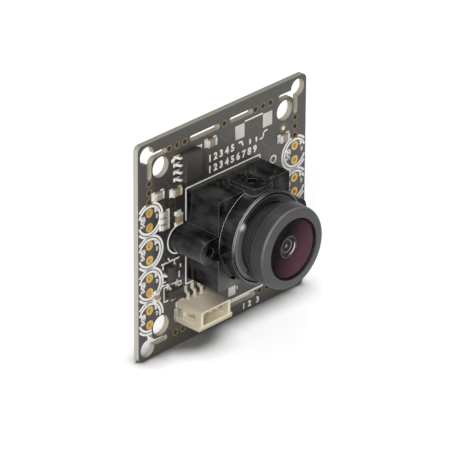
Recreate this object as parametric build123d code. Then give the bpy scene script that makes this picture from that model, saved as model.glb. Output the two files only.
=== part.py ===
from build123d import *
import os

# The module stands upright, as a camera looks out. Every piece is drawn on the board's front
# face: x runs to the right, y up, and z out of the face towards the lens, in millimetres.
# BOARD_FRONT then turns it to the part's own frame, with the lens along -Y and +Z up.
BOARD_FRONT = Plane.XZ

# Circuit board: an inner board inside a rim that snaps off along slots and drilled holes
SNAP_SIDE = 32.0
RIM_WIDTH = 3.0
BOARD_THICKNESS = 1.0
BOARD_CORNER_RADIUS = 1.0
SLOT_WIDTH = 1.0
SNAP_CORNER_RADIUS = 1.0
CORNER_SLOT_REACH = 3.4
OUTER_HOLE_INSET = 2.0
OUTER_HOLE_DIAMETER = 3.0
INNER_HOLE_INSET = 2.0
INNER_HOLE_DIAMETER = 3.5
LONG_SLOT_LENGTH = 6.75
SHORT_SLOT_LENGTH = 5.35
LONG_SLOT_CENTRE = -4.2
SHORT_SLOT_CENTRE = 4.05
PERFORATION_DIAMETER = 0.75
PERFORATION_SIDES = 8
PERFORATION_PITCH = 1.72
PERFORATIONS_IN_ROW = 3
LONG_SIDE_PERFORATIONS = -8.65
SHORT_SIDE_PERFORATIONS = 7.3
MIDDLE_PERFORATION = 0.25
SIDE_PERFORATIONS = 8.75
SIDE_PERFORATION_PITCH = 1.6

# Plated pads for lamps along both snap lines, in pairs
LAMP_PAD_DIAMETER = 1.55
LAMP_DRILL_DIAMETER = 0.8
LAMP_PAD_SIDES = 8
LAMP_PAIRS_PER_SIDE = 4
LAMP_PAD_PITCH = 2.54
LAMP_PAIR_PITCH = 5.75
LAMP_TOP_PAIR = 5.6
PAD_THICKNESS = 0.05

# Bare tinned pads
FLAT_PAD_WIDTH = 2.15
FLAT_PAD_HEIGHT = 2.45
FLAT_PAD_PITCH = 6.35
FLAT_PAD_X = 3.7
FLAT_PAD_INSET = 2.15
SQUARE_PAD_SIDE = 1.65
SQUARE_PAD_X = 2.15
SQUARE_PAD_INSET = 1.9

# Lens holder: a square hollow block, a round collar, two screw lugs and a boss on top
HOLDER_SIDE = 16.0
HOLDER_HEIGHT = 6.8
HOLDER_EDGE_RADIUS = 0.4
HOLDER_WALL = 1.5
CAVITY_HEIGHT = 2.4
FILTER_SEAT_HEIGHT = 3.0
FILTER_SEAT_WALL = 0.7
THREAD_DIAMETER = 12.0
THREAD_CLEARANCE = 0.06
COLLAR_DIAMETER = 15.8
COLLAR_RISE = 3.0
COLLAR_RECESS_DEPTH = 1.9
COLLAR_RECESS_CLEARANCE = 0.2
COLLAR_RIM_CHAMFER = 0.2
LUG_SPACING = 20.0
LUG_RADIUS = 2.1
POCKET_RADIUS = 7.6
POCKET_WIDTH = 1.3
POCKET_START = 193.0
POCKET_SWEEP = 42.0
POCKET_SINK = 0.9
POCKET_RISE = 1.2
BOSS_WIDTH = 4.4
BOSS_RISE = 0.8
BOSS_BACK = 3.0
BOSS_SETBACK = 0.7
BOSS_EDGE_RADIUS = 0.9
BOSS_SCREW_SETBACK = 2.8

# Screws
HOLDER_SCREW_DIAMETER = 1.5
HOLDER_SCREW_HEAD_DIAMETER = 3.0
HOLDER_SCREW_HEAD_HEIGHT = 0.9
HOLDER_SCREW_REACH = 4.6
HOLDER_SCREW_CROWN_DIAMETER = 1.8
HOLDER_SCREW_CROSS_LENGTH = 1.5
HOLDER_SCREW_CROSS_WIDTH = 0.3
HOLDER_SCREW_CROSS_DEPTH = 0.45
SCREW_HOLE_SIDES = 12
LOCK_SCREW_DIAMETER = 1.6
LOCK_SCREW_SOCKET = 0.7
LOCK_SCREW_SOCKET_DEPTH = 0.6
LOCK_SCREW_SINK = 0.5
HEXAGON_SIDES = 6
SCREW_CLEARANCE = 0.03
BOARD_SCREW_CLEARANCE = 0.15

# Lens: a threaded barrel with a wide head, a bezel, a sunk lock ring, a coned baffle and glass
BARREL_REAR_CLEARANCE = 0.5
HEAD_DIAMETER = 14.0
HEAD_GROOVE = 1.75
HEAD_LENGTH = 3.05
HEAD_TAPER = 0.1
BEZEL_RIM_RISE = 0.35
BEZEL_LIP_RISE = 0.65
BEZEL_LIP_THICKNESS = 0.2
WINDOW_DIAMETER = 10.2
LOCK_RING_DIAMETER = 14.6
LOCK_RING_STAND_OUT = 0.15
LOCK_RING_CHAMFER = 0.15
LOCK_RING_GAP = 0.2
LOCK_RING_NOTCHES = 4
LOCK_RING_NOTCH_TURN = 45.0
LOCK_RING_NOTCH_WIDTH = 1.0
LOCK_RING_NOTCH_LENGTH = 0.6
LOCK_RING_NOTCH_DEPTH = 0.6
RING_THREAD_CLEARANCE = 0.03
REAR_LIP_DIAMETER = 6.4
REAR_LIP_THICKNESS = 0.5
REAR_BORE_DIAMETER = 8.8
HEAD_BORE_DIAMETER = 11.2
HEAD_BORE_DEPTH = 2.45
GLASS_CLEARANCE = 0.03
SEAT_GAP = 0.04
FRONT_DOME_RISE = 1.0
FRONT_CENTRE_THICKNESS = 0.6
FRONT_FLANGE_WIDTH = 0.62
FRONT_FLANGE_DEPTH = 0.6
FRONT_NECK = 0.2
FRONT_HOLLOW_CROWN_DIAMETER = 5.0
BAFFLE_CLEARANCE = 0.05
BAFFLE_CONE_DEPTH = 0.55
BAFFLE_BORE_DIAMETER = 3.96
BAFFLE_LEDGE_WIDTH = 0.45
SECOND_GLASS_THICKNESS = 1.1
SECOND_GLASS_SINK = 0.1
SPACER_WALL = 0.8
STOP_THICKNESS = 0.15
STOP_OPENING = 2.0
MIDDLE_GLASS_THICKNESS = 1.7
REAR_GLASS_THICKNESS = 1.5
GLASS_BEVEL = 0.35

# Image sensor under the lens, and the filter above it
SENSOR_SIDE = 9.4
SENSOR_HEIGHT = 1.3
SENSOR_WELL_SIDE = 7.4
SENSOR_WELL_DEPTH = 0.7
DIE_WIDTH = 5.6
DIE_DEPTH = 4.4
DIE_THICKNESS = 0.4
WINDOW_GLASS_SIDE = 8.6
WINDOW_GLASS_THICKNESS = 0.45
FILTER_SIDE = 9.0
FILTER_THICKNESS = 0.55
FILTER_SEAT_CLEARANCE = 0.1

# Connector: an open-mouthed header with three pins and two solder tabs
CONNECTOR_X = -7.1
CONNECTOR_BELOW_HOLDER = 3.15
CONNECTOR_WIDTH = 6.65
CONNECTOR_HEIGHT = 3.3
CONNECTOR_DEPTH = 5.4
CONNECTOR_WALL = 0.55
CONNECTOR_TOP_WALL = 0.4
CONNECTOR_LIP_OVERHANG = 0.45
CONNECTOR_LIP_THICKNESS = 0.85
CONNECTOR_FLOOR = 1.5
CONNECTOR_WINDOW_LENGTH = 2.4
CONNECTOR_WINDOW_HEIGHT = 0.9
PIN_COUNT = 3
PIN_PITCH = 1.5
PIN_WIDTH = 0.5
PIN_THICKNESS = 0.25
PIN_ROW_DROP = 1.45
PIN_TIP_SETBACK = 1.1
PIN_EXIT_HEIGHT = 0.6
PIN_LEG_REACH = 2.2
PIN_FOOT_LENGTH = 0.9
PIN_BEND = 0.3
TAB_WIDTH = 2.1
TAB_THICKNESS = 0.25
TAB_HEIGHT = 1.3
TAB_FOOT_LENGTH = 0.75

# Chips: a small-outline memory chip, two regulators, a processor and small two-ended parts
MEMORY_INSET_X = 8.0
MEMORY_INSET_Y = 3.5
MEMORY_WIDTH = 3.9
MEMORY_LENGTH = 4.9
MEMORY_HEIGHT = 1.5
MEMORY_LEADS_PER_SIDE = 4
MEMORY_LEAD_PITCH = 1.27
MEMORY_LEAD_WIDTH = 0.42
MEMORY_LEAD_REACH = 1.05
REGULATOR_WIDTH = 1.6
REGULATOR_LENGTH = 2.9
REGULATOR_HEIGHT = 1.05
REGULATOR_LEAD_PITCH = 0.95
REGULATOR_LEAD_WIDTH = 0.4
REGULATOR_LEAD_REACH = 0.65
PROCESSOR_SIDE = 7.0
PROCESSOR_HEIGHT = 1.0
PROCESSOR_LEADS_PER_SIDE = 8
PROCESSOR_LEAD_PITCH = 0.8
PROCESSOR_LEAD_WIDTH = 0.35
PROCESSOR_LEAD_REACH = 0.9
LEAD_THICKNESS = 0.15
LEAD_SHOULDER = 0.3
LEAD_HEEL = 0.5
CHIP_STAND_OFF = 0.1
CHIP_SLOPE = 0.12
LARGE_CHIP_LENGTH = 2.0
LARGE_CHIP_WIDTH = 1.25
LARGE_CHIP_HEIGHT = 0.6
SMALL_CHIP_LENGTH = 1.6
SMALL_CHIP_WIDTH = 0.8
SMALL_CHIP_HEIGHT = 0.45
CHIP_TERMINAL_LENGTH = 0.4
CRYSTAL_LENGTH = 5.0
CRYSTAL_WIDTH = 3.2
CRYSTAL_HEIGHT = 0.9
CRYSTAL_BASE_HEIGHT = 0.5
CRYSTAL_LID_INSET = 0.25
INDUCTOR_SIDE = 4.0
INDUCTOR_HEIGHT = 1.8
INDUCTOR_CORE_DIAMETER = 3.2
INDUCTOR_FLANGE_HEIGHT = 0.45
INDUCTOR_CAP_SIDES = 8
TANTALUM_LENGTH = 3.5
TANTALUM_WIDTH = 2.8
TANTALUM_HEIGHT = 1.9
TANTALUM_TAPER = 2.0
TANTALUM_TERMINAL_LENGTH = 0.8
TANTALUM_TERMINAL_WIDTH = 2.2
TANTALUM_TERMINAL_THICKNESS = 0.2

# Edges, centres and heights that follow from the sizes above
SNAP_EDGE = SNAP_SIDE / 2
BOARD_EDGE = SNAP_EDGE + RIM_WIDTH
SNAP_LINE = SNAP_EDGE + SLOT_WIDTH / 2
OUTER_HOLE = BOARD_EDGE - OUTER_HOLE_INSET
INNER_HOLE = SNAP_EDGE - INNER_HOLE_INSET
CORNERS = [(sx, sy) for sx in (-1, 1) for sy in (-1, 1)]
HOLDER_EDGE = HOLDER_SIDE / 2
LUG_CENTRE = LUG_SPACING / 2
THREAD_RADIUS = THREAD_DIAMETER / 2
BORE_RADIUS = THREAD_RADIUS + THREAD_CLEARANCE
BORE_START_HEIGHT = FILTER_SEAT_HEIGHT + FILTER_SEAT_WALL
COLLAR_HEIGHT = HOLDER_HEIGHT + COLLAR_RISE
COLLAR_RECESS_FLOOR = COLLAR_HEIGHT - COLLAR_RECESS_DEPTH
LOCK_RING_RADIUS = LOCK_RING_DIAMETER / 2
LOCK_RING_FRONT_HEIGHT = COLLAR_HEIGHT + LOCK_RING_STAND_OUT
COLLAR_RECESS_RADIUS = LOCK_RING_RADIUS + COLLAR_RECESS_CLEARANCE
BOSS_TOP = HOLDER_EDGE + BOSS_RISE
BOSS_FRONT = COLLAR_HEIGHT - BOSS_SETBACK
BOSS_SCREW_HEIGHT = BOSS_FRONT - BOSS_SCREW_SETBACK
BARREL_REAR_HEIGHT = BORE_START_HEIGHT + BARREL_REAR_CLEARANCE
HEAD_RADIUS = HEAD_DIAMETER / 2
HEAD_REAR_HEIGHT = LOCK_RING_FRONT_HEIGHT + HEAD_GROOVE
HEAD_FRONT_HEIGHT = HEAD_REAR_HEIGHT + HEAD_LENGTH
HEAD_BORE_FLOOR_HEIGHT = HEAD_FRONT_HEIGHT - HEAD_BORE_DEPTH
BEZEL_LIP_HEIGHT = HEAD_FRONT_HEIGHT + BEZEL_LIP_RISE
LIP_UNDERSIDE = BEZEL_LIP_HEIGHT - BEZEL_LIP_THICKNESS
WELL_FLOOR = SENSOR_HEIGHT - SENSOR_WELL_DEPTH
CONNECTOR_TOP = -HOLDER_EDGE - CONNECTOR_BELOW_HOLDER
CONNECTOR_BOTTOM = CONNECTOR_TOP - CONNECTOR_HEIGHT
CONNECTOR_HALF = CONNECTOR_WIDTH / 2
PIN_TIP_HEIGHT = CONNECTOR_DEPTH - PIN_TIP_SETBACK
LARGE_CHIP = (LARGE_CHIP_LENGTH, LARGE_CHIP_WIDTH, LARGE_CHIP_HEIGHT)
SMALL_CHIP = (SMALL_CHIP_LENGTH, SMALL_CHIP_WIDTH, SMALL_CHIP_HEIGHT)
OPTICAL_AXIS = Axis.Z

# The stack in the lens's rear bore, from the barrel's lip forward
STACK_RADIUS = REAR_BORE_DIAMETER / 2 - GLASS_CLEARANCE
REAR_GLASS_HEIGHT = BARREL_REAR_HEIGHT + REAR_LIP_THICKNESS + SEAT_GAP
MIDDLE_GLASS_HEIGHT = REAR_GLASS_HEIGHT + REAR_GLASS_THICKNESS + SEAT_GAP
STOP_HEIGHT = MIDDLE_GLASS_HEIGHT + MIDDLE_GLASS_THICKNESS + SEAT_GAP

# The front glass under the bezel's lip, and the coned baffle behind it
GLASS_RADIUS = HEAD_BORE_DIAMETER / 2 - GLASS_CLEARANCE
GLASS_APEX_HEIGHT = LIP_UNDERSIDE - SEAT_GAP + FRONT_DOME_RISE
GLASS_EDGE_HEIGHT = GLASS_APEX_HEIGHT - FRONT_DOME_RISE * (2 * GLASS_RADIUS / WINDOW_DIAMETER) ** 2
GLASS_SEAT_HEIGHT = GLASS_EDGE_HEIGHT - FRONT_FLANGE_DEPTH
HOLLOW_RADIUS = GLASS_RADIUS - FRONT_FLANGE_WIDTH
DOME_OVER_HOLLOW = GLASS_APEX_HEIGHT - FRONT_DOME_RISE * (2 * HOLLOW_RADIUS / WINDOW_DIAMETER) ** 2
HOLLOW_EDGE_HEIGHT = DOME_OVER_HOLLOW - FRONT_NECK
BAFFLE_RIM_RADIUS = HOLLOW_RADIUS - BAFFLE_CLEARANCE
BAFFLE_RIM_HEIGHT = HOLLOW_EDGE_HEIGHT - 2 * BAFFLE_CLEARANCE
BAFFLE_BORE_HEIGHT = BAFFLE_RIM_HEIGHT - BAFFLE_CONE_DEPTH
SECOND_GLASS_HEIGHT = BAFFLE_BORE_HEIGHT - SECOND_GLASS_SINK - SECOND_GLASS_THICKNESS

# Places of the chips, from the inner board's edges
BACK = Pos(0, 0, -BOARD_THICKNESS) * Rot(0, 180, 0)
UPRIGHT = Rot(0, 0, 90)
LEFT = -SNAP_EDGE
RIGHT = SNAP_EDGE
TOP = SNAP_EDGE
BOTTOM = -SNAP_EDGE
REGULATOR_PLACES = [
    Pos(LEFT + 3.75, -5.3, 0),
    Pos(LEFT + 4.6, -8.9, 0) * UPRIGHT,
    BACK * Pos(LEFT + 6.0, 3.6, 0),
]
CAPACITORS = [
    (LARGE_CHIP, Pos(LEFT + 5.25, TOP - 7.45, 0)),
    (LARGE_CHIP, Pos(LEFT + 5.8, 3.7, 0) * UPRIGHT),
    (LARGE_CHIP, Pos(-2.95, TOP - 1.55, 0)),
    (SMALL_CHIP, Pos(LEFT + 1.0, -8.4, 0) * UPRIGHT),
    (LARGE_CHIP, Pos(RIGHT - 4.9, -5.2, 0)),
    (LARGE_CHIP, Pos(RIGHT - 4.9, -7.4, 0)),
    (LARGE_CHIP, BACK * Pos(-3.0, 7.6, 0) * UPRIGHT),
    (LARGE_CHIP, BACK * Pos(3.0, 7.6, 0) * UPRIGHT),
    (LARGE_CHIP, BACK * Pos(-3.0, -7.6, 0) * UPRIGHT),
    (LARGE_CHIP, BACK * Pos(3.0, -7.6, 0) * UPRIGHT),
]
RESISTORS = [
    (LARGE_CHIP, Pos(LEFT + 1.3, TOP - 6.65, 0)),
    (LARGE_CHIP, Pos(RIGHT - 2.25, TOP - 6.7, 0)),
    (SMALL_CHIP, Pos(LEFT + 2.8, 5.6, 0)),
    (SMALL_CHIP, Pos(LEFT + 2.8, 4.45, 0)),
    (SMALL_CHIP, Pos(LEFT + 2.8, 3.3, 0)),
    (SMALL_CHIP, Pos(RIGHT - 5.1, -10.0, 0)),
    (SMALL_CHIP, BACK * Pos(0, 7.6, 0) * UPRIGHT),
    (SMALL_CHIP, BACK * Pos(0, -7.6, 0) * UPRIGHT),
    (SMALL_CHIP, BACK * Pos(7.4, 4.4, 0)),
    (SMALL_CHIP, BACK * Pos(7.4, 3.1, 0)),
]
CRYSTAL_PLACE = BACK * Pos(RIGHT - 6.2, TOP - 7.4, 0)
INDUCTOR_PLACE = BACK * Pos(LEFT + 6.6, BOTTOM + 7.2, 0)
TANTALUM_PLACES = [
    BACK * Pos(RIGHT - 6.4, BOTTOM + 8.6, 0),
    BACK * Pos(LEFT + 6.4, TOP - 7.2, 0),
]


def box(width, height, depth, x=0.0, y=0.0, z=0.0):
    """Block centred on x and y whose back lies at height z above the board's face."""
    return extrude(Plane((x, y, z)) * Rectangle(width, height), depth)


def turned(*outline):
    """Solid turned about the optical axis from a closed outline of (radius, height) points."""
    return revolve(make_face(Plane.XZ * Polyline(*outline, close=True)), OPTICAL_AXIS)


def bent_strip(path, thickness, width):
    """Strip bent along (x, z) points, with the points on its lower side, centred on y = 0."""
    line = Polyline(*path).wire()
    outline = line.offset_2d(thickness, kind=Kind.INTERSECTION, side=Side.LEFT, closed=True)
    return extrude(Plane.XZ * Face(outline), width / 2, both=True)


# Circuit board


def small_hole(diameter, sides):
    """Outline of a small drilled hole, as a polygon as wide over its flats as the drill."""
    return RegularPolygon(diameter / 2, sides, major_radius=False)


def snap_line_cuts():
    """Slots and drilled holes along the top snap line."""
    drill = small_hole(PERFORATION_DIAMETER, PERFORATION_SIDES)
    cuts = [
        Pos(LONG_SLOT_CENTRE, SNAP_LINE) * SlotOverall(LONG_SLOT_LENGTH, SLOT_WIDTH),
        Pos(SHORT_SLOT_CENTRE, SNAP_LINE) * SlotOverall(SHORT_SLOT_LENGTH, SLOT_WIDTH),
        Pos(MIDDLE_PERFORATION, SNAP_LINE) * drill,
    ]
    for step in range(PERFORATIONS_IN_ROW):
        cuts.append(Pos(LONG_SIDE_PERFORATIONS - step * PERFORATION_PITCH, SNAP_LINE) * drill)
        cuts.append(Pos(SHORT_SIDE_PERFORATIONS + step * PERFORATION_PITCH, SNAP_LINE) * drill)
    return cuts


def corner_cuts(sx, sy):
    """Outer and inner fixing holes of one corner, and the bent slot between them."""
    arm_end = SNAP_LINE - CORNER_SLOT_REACH
    bend = SNAP_CORNER_RADIUS + SLOT_WIDTH / 2
    path = FilletPolyline(
        (sx * arm_end, sy * SNAP_LINE),
        (sx * SNAP_LINE, sy * SNAP_LINE),
        (sx * SNAP_LINE, sy * arm_end),
        radius=bend,
    )
    return [
        Pos(sx * OUTER_HOLE, sy * OUTER_HOLE) * Circle(OUTER_HOLE_DIAMETER / 2),
        Pos(sx * INNER_HOLE, sy * INNER_HOLE) * Circle(INNER_HOLE_DIAMETER / 2),
        SlotArc(path.wire(), SLOT_WIDTH),
    ]


def lamp_pad_places():
    """Centres of the lamp pads, down both snap lines."""
    places = []
    for sx in (-1, 1):
        for pair in range(LAMP_PAIRS_PER_SIDE):
            middle = LAMP_TOP_PAIR - pair * LAMP_PAIR_PITCH
            places.append((sx * SNAP_LINE, middle + LAMP_PAD_PITCH / 2))
            places.append((sx * SNAP_LINE, middle - LAMP_PAD_PITCH / 2))
    return places


def circuit_board():
    outline = RectangleRounded(2 * BOARD_EDGE, 2 * BOARD_EDGE, BOARD_CORNER_RADIUS)
    cuts = []
    for sx, sy in CORNERS:
        cuts += corner_cuts(sx, sy)
    for cut in snap_line_cuts():
        cuts += [cut, Rot(0, 0, 180) * cut]
    for sx in (-1, 1):
        for step in range(PERFORATIONS_IN_ROW):
            y = SIDE_PERFORATIONS + step * SIDE_PERFORATION_PITCH
            cuts.append(Pos(sx * SNAP_LINE, y) * small_hole(PERFORATION_DIAMETER, PERFORATION_SIDES))
        screw_hole = small_hole(HOLDER_SCREW_DIAMETER + 2 * BOARD_SCREW_CLEARANCE, SCREW_HOLE_SIDES)
        cuts.append(Pos(sx * LUG_CENTRE, 0) * screw_hole)
    for place in lamp_pad_places():
        cuts.append(Pos(*place) * small_hole(LAMP_DRILL_DIAMETER, LAMP_PAD_SIDES))
    return extrude(outline - cuts, -BOARD_THICKNESS)


def lamp_pads():
    """Gold rings round the lamp holes on the board's front."""
    hole = small_hole(LAMP_DRILL_DIAMETER, LAMP_PAD_SIDES)
    ring = extrude(small_hole(LAMP_PAD_DIAMETER, LAMP_PAD_SIDES) - hole, PAD_THICKNESS)
    return [Pos(*place) * ring for place in lamp_pad_places()]


def tinned_pads():
    top = SNAP_EDGE - FLAT_PAD_INSET
    bottom = SQUARE_PAD_INSET - SNAP_EDGE
    return [
        box(FLAT_PAD_WIDTH, FLAT_PAD_HEIGHT, PAD_THICKNESS, FLAT_PAD_X, top),
        box(FLAT_PAD_WIDTH, FLAT_PAD_HEIGHT, PAD_THICKNESS, FLAT_PAD_X + FLAT_PAD_PITCH, top),
        box(SQUARE_PAD_SIDE, SQUARE_PAD_SIDE, PAD_THICKNESS, SQUARE_PAD_X, bottom),
    ]


# Lens holder


def holder_boss():
    """Raised pad on top that carries the lock screw."""
    middle = (BOSS_BACK + BOSS_FRONT) / 2
    length = BOSS_FRONT - BOSS_BACK
    top_face = Plane(origin=(0, BOSS_TOP, middle), x_dir=(1, 0, 0), z_dir=(0, 1, 0))
    outline = top_face * RectangleRounded(BOSS_WIDTH, length, BOSS_EDGE_RADIUS)
    return extrude(outline, BORE_RADIUS - BOSS_TOP + HOLDER_WALL / 2)


def holder_pockets():
    """Curved pockets low on the collar's wall, left and right."""
    arc = CenterArc((0, 0), POCKET_RADIUS, POCKET_START, POCKET_SWEEP)
    floor = Pos(0, 0, HOLDER_HEIGHT - POCKET_SINK)
    left = extrude(floor * SlotArc(arc, POCKET_WIDTH), POCKET_SINK + POCKET_RISE)
    return [left, mirror(left, Plane.YZ)]


def lock_screw_bore(radius):
    """Round hole down the boss to the lens thread."""
    start = Plane(origin=(0, BOSS_TOP, BOSS_SCREW_HEIGHT), x_dir=(1, 0, 0), z_dir=(0, 1, 0))
    return extrude(start * Circle(radius), -BOSS_TOP)


def lens_holder():
    block = extrude(RectangleRounded(HOLDER_SIDE, HOLDER_SIDE, HOLDER_EDGE_RADIUS), HOLDER_HEIGHT)
    lugs = extrude(SlotCenterToCenter(LUG_SPACING, 2 * LUG_RADIUS), HOLDER_HEIGHT)
    collar = turned(
        (0, HOLDER_HEIGHT),
        (COLLAR_DIAMETER / 2, HOLDER_HEIGHT),
        (COLLAR_DIAMETER / 2, COLLAR_HEIGHT - COLLAR_RIM_CHAMFER),
        (COLLAR_DIAMETER / 2 - COLLAR_RIM_CHAMFER, COLLAR_HEIGHT),
        (0, COLLAR_HEIGHT),
    )
    cavity_side = HOLDER_SIDE - 2 * HOLDER_WALL
    seat_side = FILTER_SIDE + 2 * FILTER_SEAT_CLEARANCE
    light_way = turned(
        (0, FILTER_SEAT_HEIGHT),
        (REAR_BORE_DIAMETER / 2, FILTER_SEAT_HEIGHT),
        (REAR_BORE_DIAMETER / 2, BORE_START_HEIGHT),
        (BORE_RADIUS, BORE_START_HEIGHT),
        (BORE_RADIUS, COLLAR_RECESS_FLOOR),
        (COLLAR_RECESS_RADIUS, COLLAR_RECESS_FLOOR),
        (COLLAR_RECESS_RADIUS, COLLAR_HEIGHT),
        (0, COLLAR_HEIGHT),
    )
    holder = block + lugs + collar + holder_boss()
    holder -= box(cavity_side, cavity_side, CAVITY_HEIGHT)
    holder -= box(seat_side, seat_side, FILTER_SEAT_HEIGHT)
    holder -= light_way
    holder -= holder_pockets()
    holder -= lock_screw_bore(LOCK_SCREW_DIAMETER / 2 + SCREW_CLEARANCE)
    lug_hole = Cylinder(HOLDER_SCREW_DIAMETER / 2 + SCREW_CLEARANCE, 2 * HOLDER_HEIGHT)
    for sx in (-1, 1):
        holder -= Pos(sx * LUG_CENTRE, 0, HOLDER_HEIGHT) * lug_hole
    return holder


def holder_screws():
    """Pan-head screws from the board's back into the two lugs."""
    head_radius = HOLDER_SCREW_HEAD_DIAMETER / 2
    shank_radius = HOLDER_SCREW_DIAMETER / 2
    head_top = -BOARD_THICKNESS - HOLDER_SCREW_HEAD_HEIGHT
    screw = turned(
        (0, head_top),
        (HOLDER_SCREW_CROWN_DIAMETER / 2, head_top),
        (head_radius, -BOARD_THICKNESS),
        (shank_radius, -BOARD_THICKNESS),
        (shank_radius, HOLDER_SCREW_REACH),
        (0, HOLDER_SCREW_REACH),
    )
    arms = [(HOLDER_SCREW_CROSS_LENGTH, HOLDER_SCREW_CROSS_WIDTH)]
    arms.append(arms[0][::-1])
    for width, height in arms:
        screw -= box(width, height, HOLDER_SCREW_CROSS_DEPTH, z=head_top)
    return [Pos(sx * LUG_CENTRE, 0, 0) * screw for sx in (-1, 1)]


def lens_lock_screw():
    """Headless screw in the boss, with a hexagon socket, that bears on the lens thread."""
    start = Plane(
        origin=(0, BORE_RADIUS, BOSS_SCREW_HEIGHT),
        x_dir=(1, 0, 0),
        z_dir=(0, 1, 0),
    )
    length = BOSS_TOP - LOCK_SCREW_SINK - BORE_RADIUS
    screw = extrude(start * Circle(LOCK_SCREW_DIAMETER / 2), length)
    socket = RegularPolygon(LOCK_SCREW_SOCKET / 2, HEXAGON_SIDES, major_radius=False)
    return screw - extrude(start.offset(length) * socket, -LOCK_SCREW_SOCKET_DEPTH)


# Lens


def lens_barrel():
    """Threaded tube with its wide head, open at the front for the large glass."""
    rear_bore = REAR_BORE_DIAMETER / 2
    head_bore = HEAD_BORE_DIAMETER / 2
    lip_top = BARREL_REAR_HEIGHT + REAR_LIP_THICKNESS
    return turned(
        (REAR_LIP_DIAMETER / 2, BARREL_REAR_HEIGHT),
        (THREAD_RADIUS, BARREL_REAR_HEIGHT),
        (THREAD_RADIUS, HEAD_REAR_HEIGHT),
        (HEAD_RADIUS, HEAD_REAR_HEIGHT),
        (HEAD_RADIUS - HEAD_TAPER, HEAD_FRONT_HEIGHT),
        (head_bore, HEAD_FRONT_HEIGHT),
        (head_bore, HEAD_BORE_FLOOR_HEIGHT),
        (rear_bore, HEAD_BORE_FLOOR_HEIGHT),
        (rear_bore, lip_top),
        (REAR_LIP_DIAMETER / 2, lip_top),
    )


def front_bezel():
    """Coned ring on the head whose lip holds the front glass."""
    outer = HEAD_RADIUS - HEAD_TAPER
    inner = HEAD_BORE_DIAMETER / 2
    window = WINDOW_DIAMETER / 2
    return turned(
        (inner, HEAD_FRONT_HEIGHT),
        (outer, HEAD_FRONT_HEIGHT),
        (outer - HEAD_TAPER, HEAD_FRONT_HEIGHT + BEZEL_RIM_RISE),
        (window, BEZEL_LIP_HEIGHT),
        (window, LIP_UNDERSIDE),
        (inner, LIP_UNDERSIDE),
    )


def lock_ring():
    """Nut on the lens thread, sunk in the collar, with spanner notches in its front edge."""
    inner = THREAD_RADIUS + RING_THREAD_CLEARANCE
    back = COLLAR_RECESS_FLOOR + LOCK_RING_GAP
    ring = turned(
        (inner, back),
        (LOCK_RING_RADIUS, back),
        (LOCK_RING_RADIUS, LOCK_RING_FRONT_HEIGHT - LOCK_RING_CHAMFER),
        (LOCK_RING_RADIUS - LOCK_RING_CHAMFER, LOCK_RING_FRONT_HEIGHT),
        (inner, LOCK_RING_FRONT_HEIGHT),
    )
    notch = box(
        2 * LOCK_RING_NOTCH_LENGTH,
        LOCK_RING_NOTCH_WIDTH,
        2 * LOCK_RING_NOTCH_DEPTH,
        x=inner,
        z=LOCK_RING_FRONT_HEIGHT - LOCK_RING_NOTCH_DEPTH,
    )
    turns = PolarLocations(0, LOCK_RING_NOTCHES, start_angle=LOCK_RING_NOTCH_TURN)
    return ring - [turn * notch for turn in turns]


def front_element():
    """Large domed glass, hollow behind, seated on the baffle under the bezel's lip."""
    outline = [
        Line((0, GLASS_SEAT_HEIGHT), (0, GLASS_APEX_HEIGHT)),
        TangentArc((0, GLASS_APEX_HEIGHT), (GLASS_RADIUS, GLASS_EDGE_HEIGHT), tangent=(1, 0)),
        Line((GLASS_RADIUS, GLASS_EDGE_HEIGHT), (GLASS_RADIUS, GLASS_SEAT_HEIGHT)),
        Line((GLASS_RADIUS, GLASS_SEAT_HEIGHT), (0, GLASS_SEAT_HEIGHT)),
    ]
    domed = revolve(make_face([Plane.XZ * line for line in outline]), OPTICAL_AXIS)
    crown = GLASS_APEX_HEIGHT - FRONT_CENTRE_THICKNESS
    return domed - turned(
        (0, GLASS_SEAT_HEIGHT),
        (HOLLOW_RADIUS, GLASS_SEAT_HEIGHT),
        (HOLLOW_RADIUS, HOLLOW_EDGE_HEIGHT),
        (FRONT_HOLLOW_CROWN_DIAMETER / 2, crown),
        (0, crown),
    )


def lens_baffle():
    """Coned ring behind the front glass, whose bore holds the second glass on a ledge."""
    bore = BAFFLE_BORE_DIAMETER / 2
    back = HEAD_BORE_FLOOR_HEIGHT + SEAT_GAP
    shoulder = GLASS_SEAT_HEIGHT - SEAT_GAP
    ledge = SECOND_GLASS_HEIGHT - SEAT_GAP
    return turned(
        (bore - BAFFLE_LEDGE_WIDTH, back),
        (GLASS_RADIUS, back),
        (GLASS_RADIUS, shoulder),
        (BAFFLE_RIM_RADIUS, shoulder),
        (BAFFLE_RIM_RADIUS, BAFFLE_RIM_HEIGHT),
        (bore, BAFFLE_BORE_HEIGHT),
        (bore, ledge),
        (bore - BAFFLE_LEDGE_WIDTH, ledge),
    )


def inner_glass(low, thickness, radius):
    """Inner glass with a bevelled front edge, from height low forward."""
    high = low + thickness
    return turned(
        (0, low),
        (radius, low),
        (radius, high - GLASS_BEVEL),
        (radius - GLASS_BEVEL, high),
        (0, high),
    )


def aperture_stop():
    return turned(
        (STOP_OPENING / 2, STOP_HEIGHT),
        (STACK_RADIUS, STOP_HEIGHT),
        (STACK_RADIUS, STOP_HEIGHT + STOP_THICKNESS),
        (STOP_OPENING / 2, STOP_HEIGHT + STOP_THICKNESS),
    )


def spacer_ring():
    """Tube in the rear bore, from the stop to the baffle."""
    inner = STACK_RADIUS - SPACER_WALL
    back = STOP_HEIGHT + STOP_THICKNESS
    front = HEAD_BORE_FLOOR_HEIGHT
    return turned((inner, back), (STACK_RADIUS, back), (STACK_RADIUS, front), (inner, front))


# Image sensor


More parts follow.
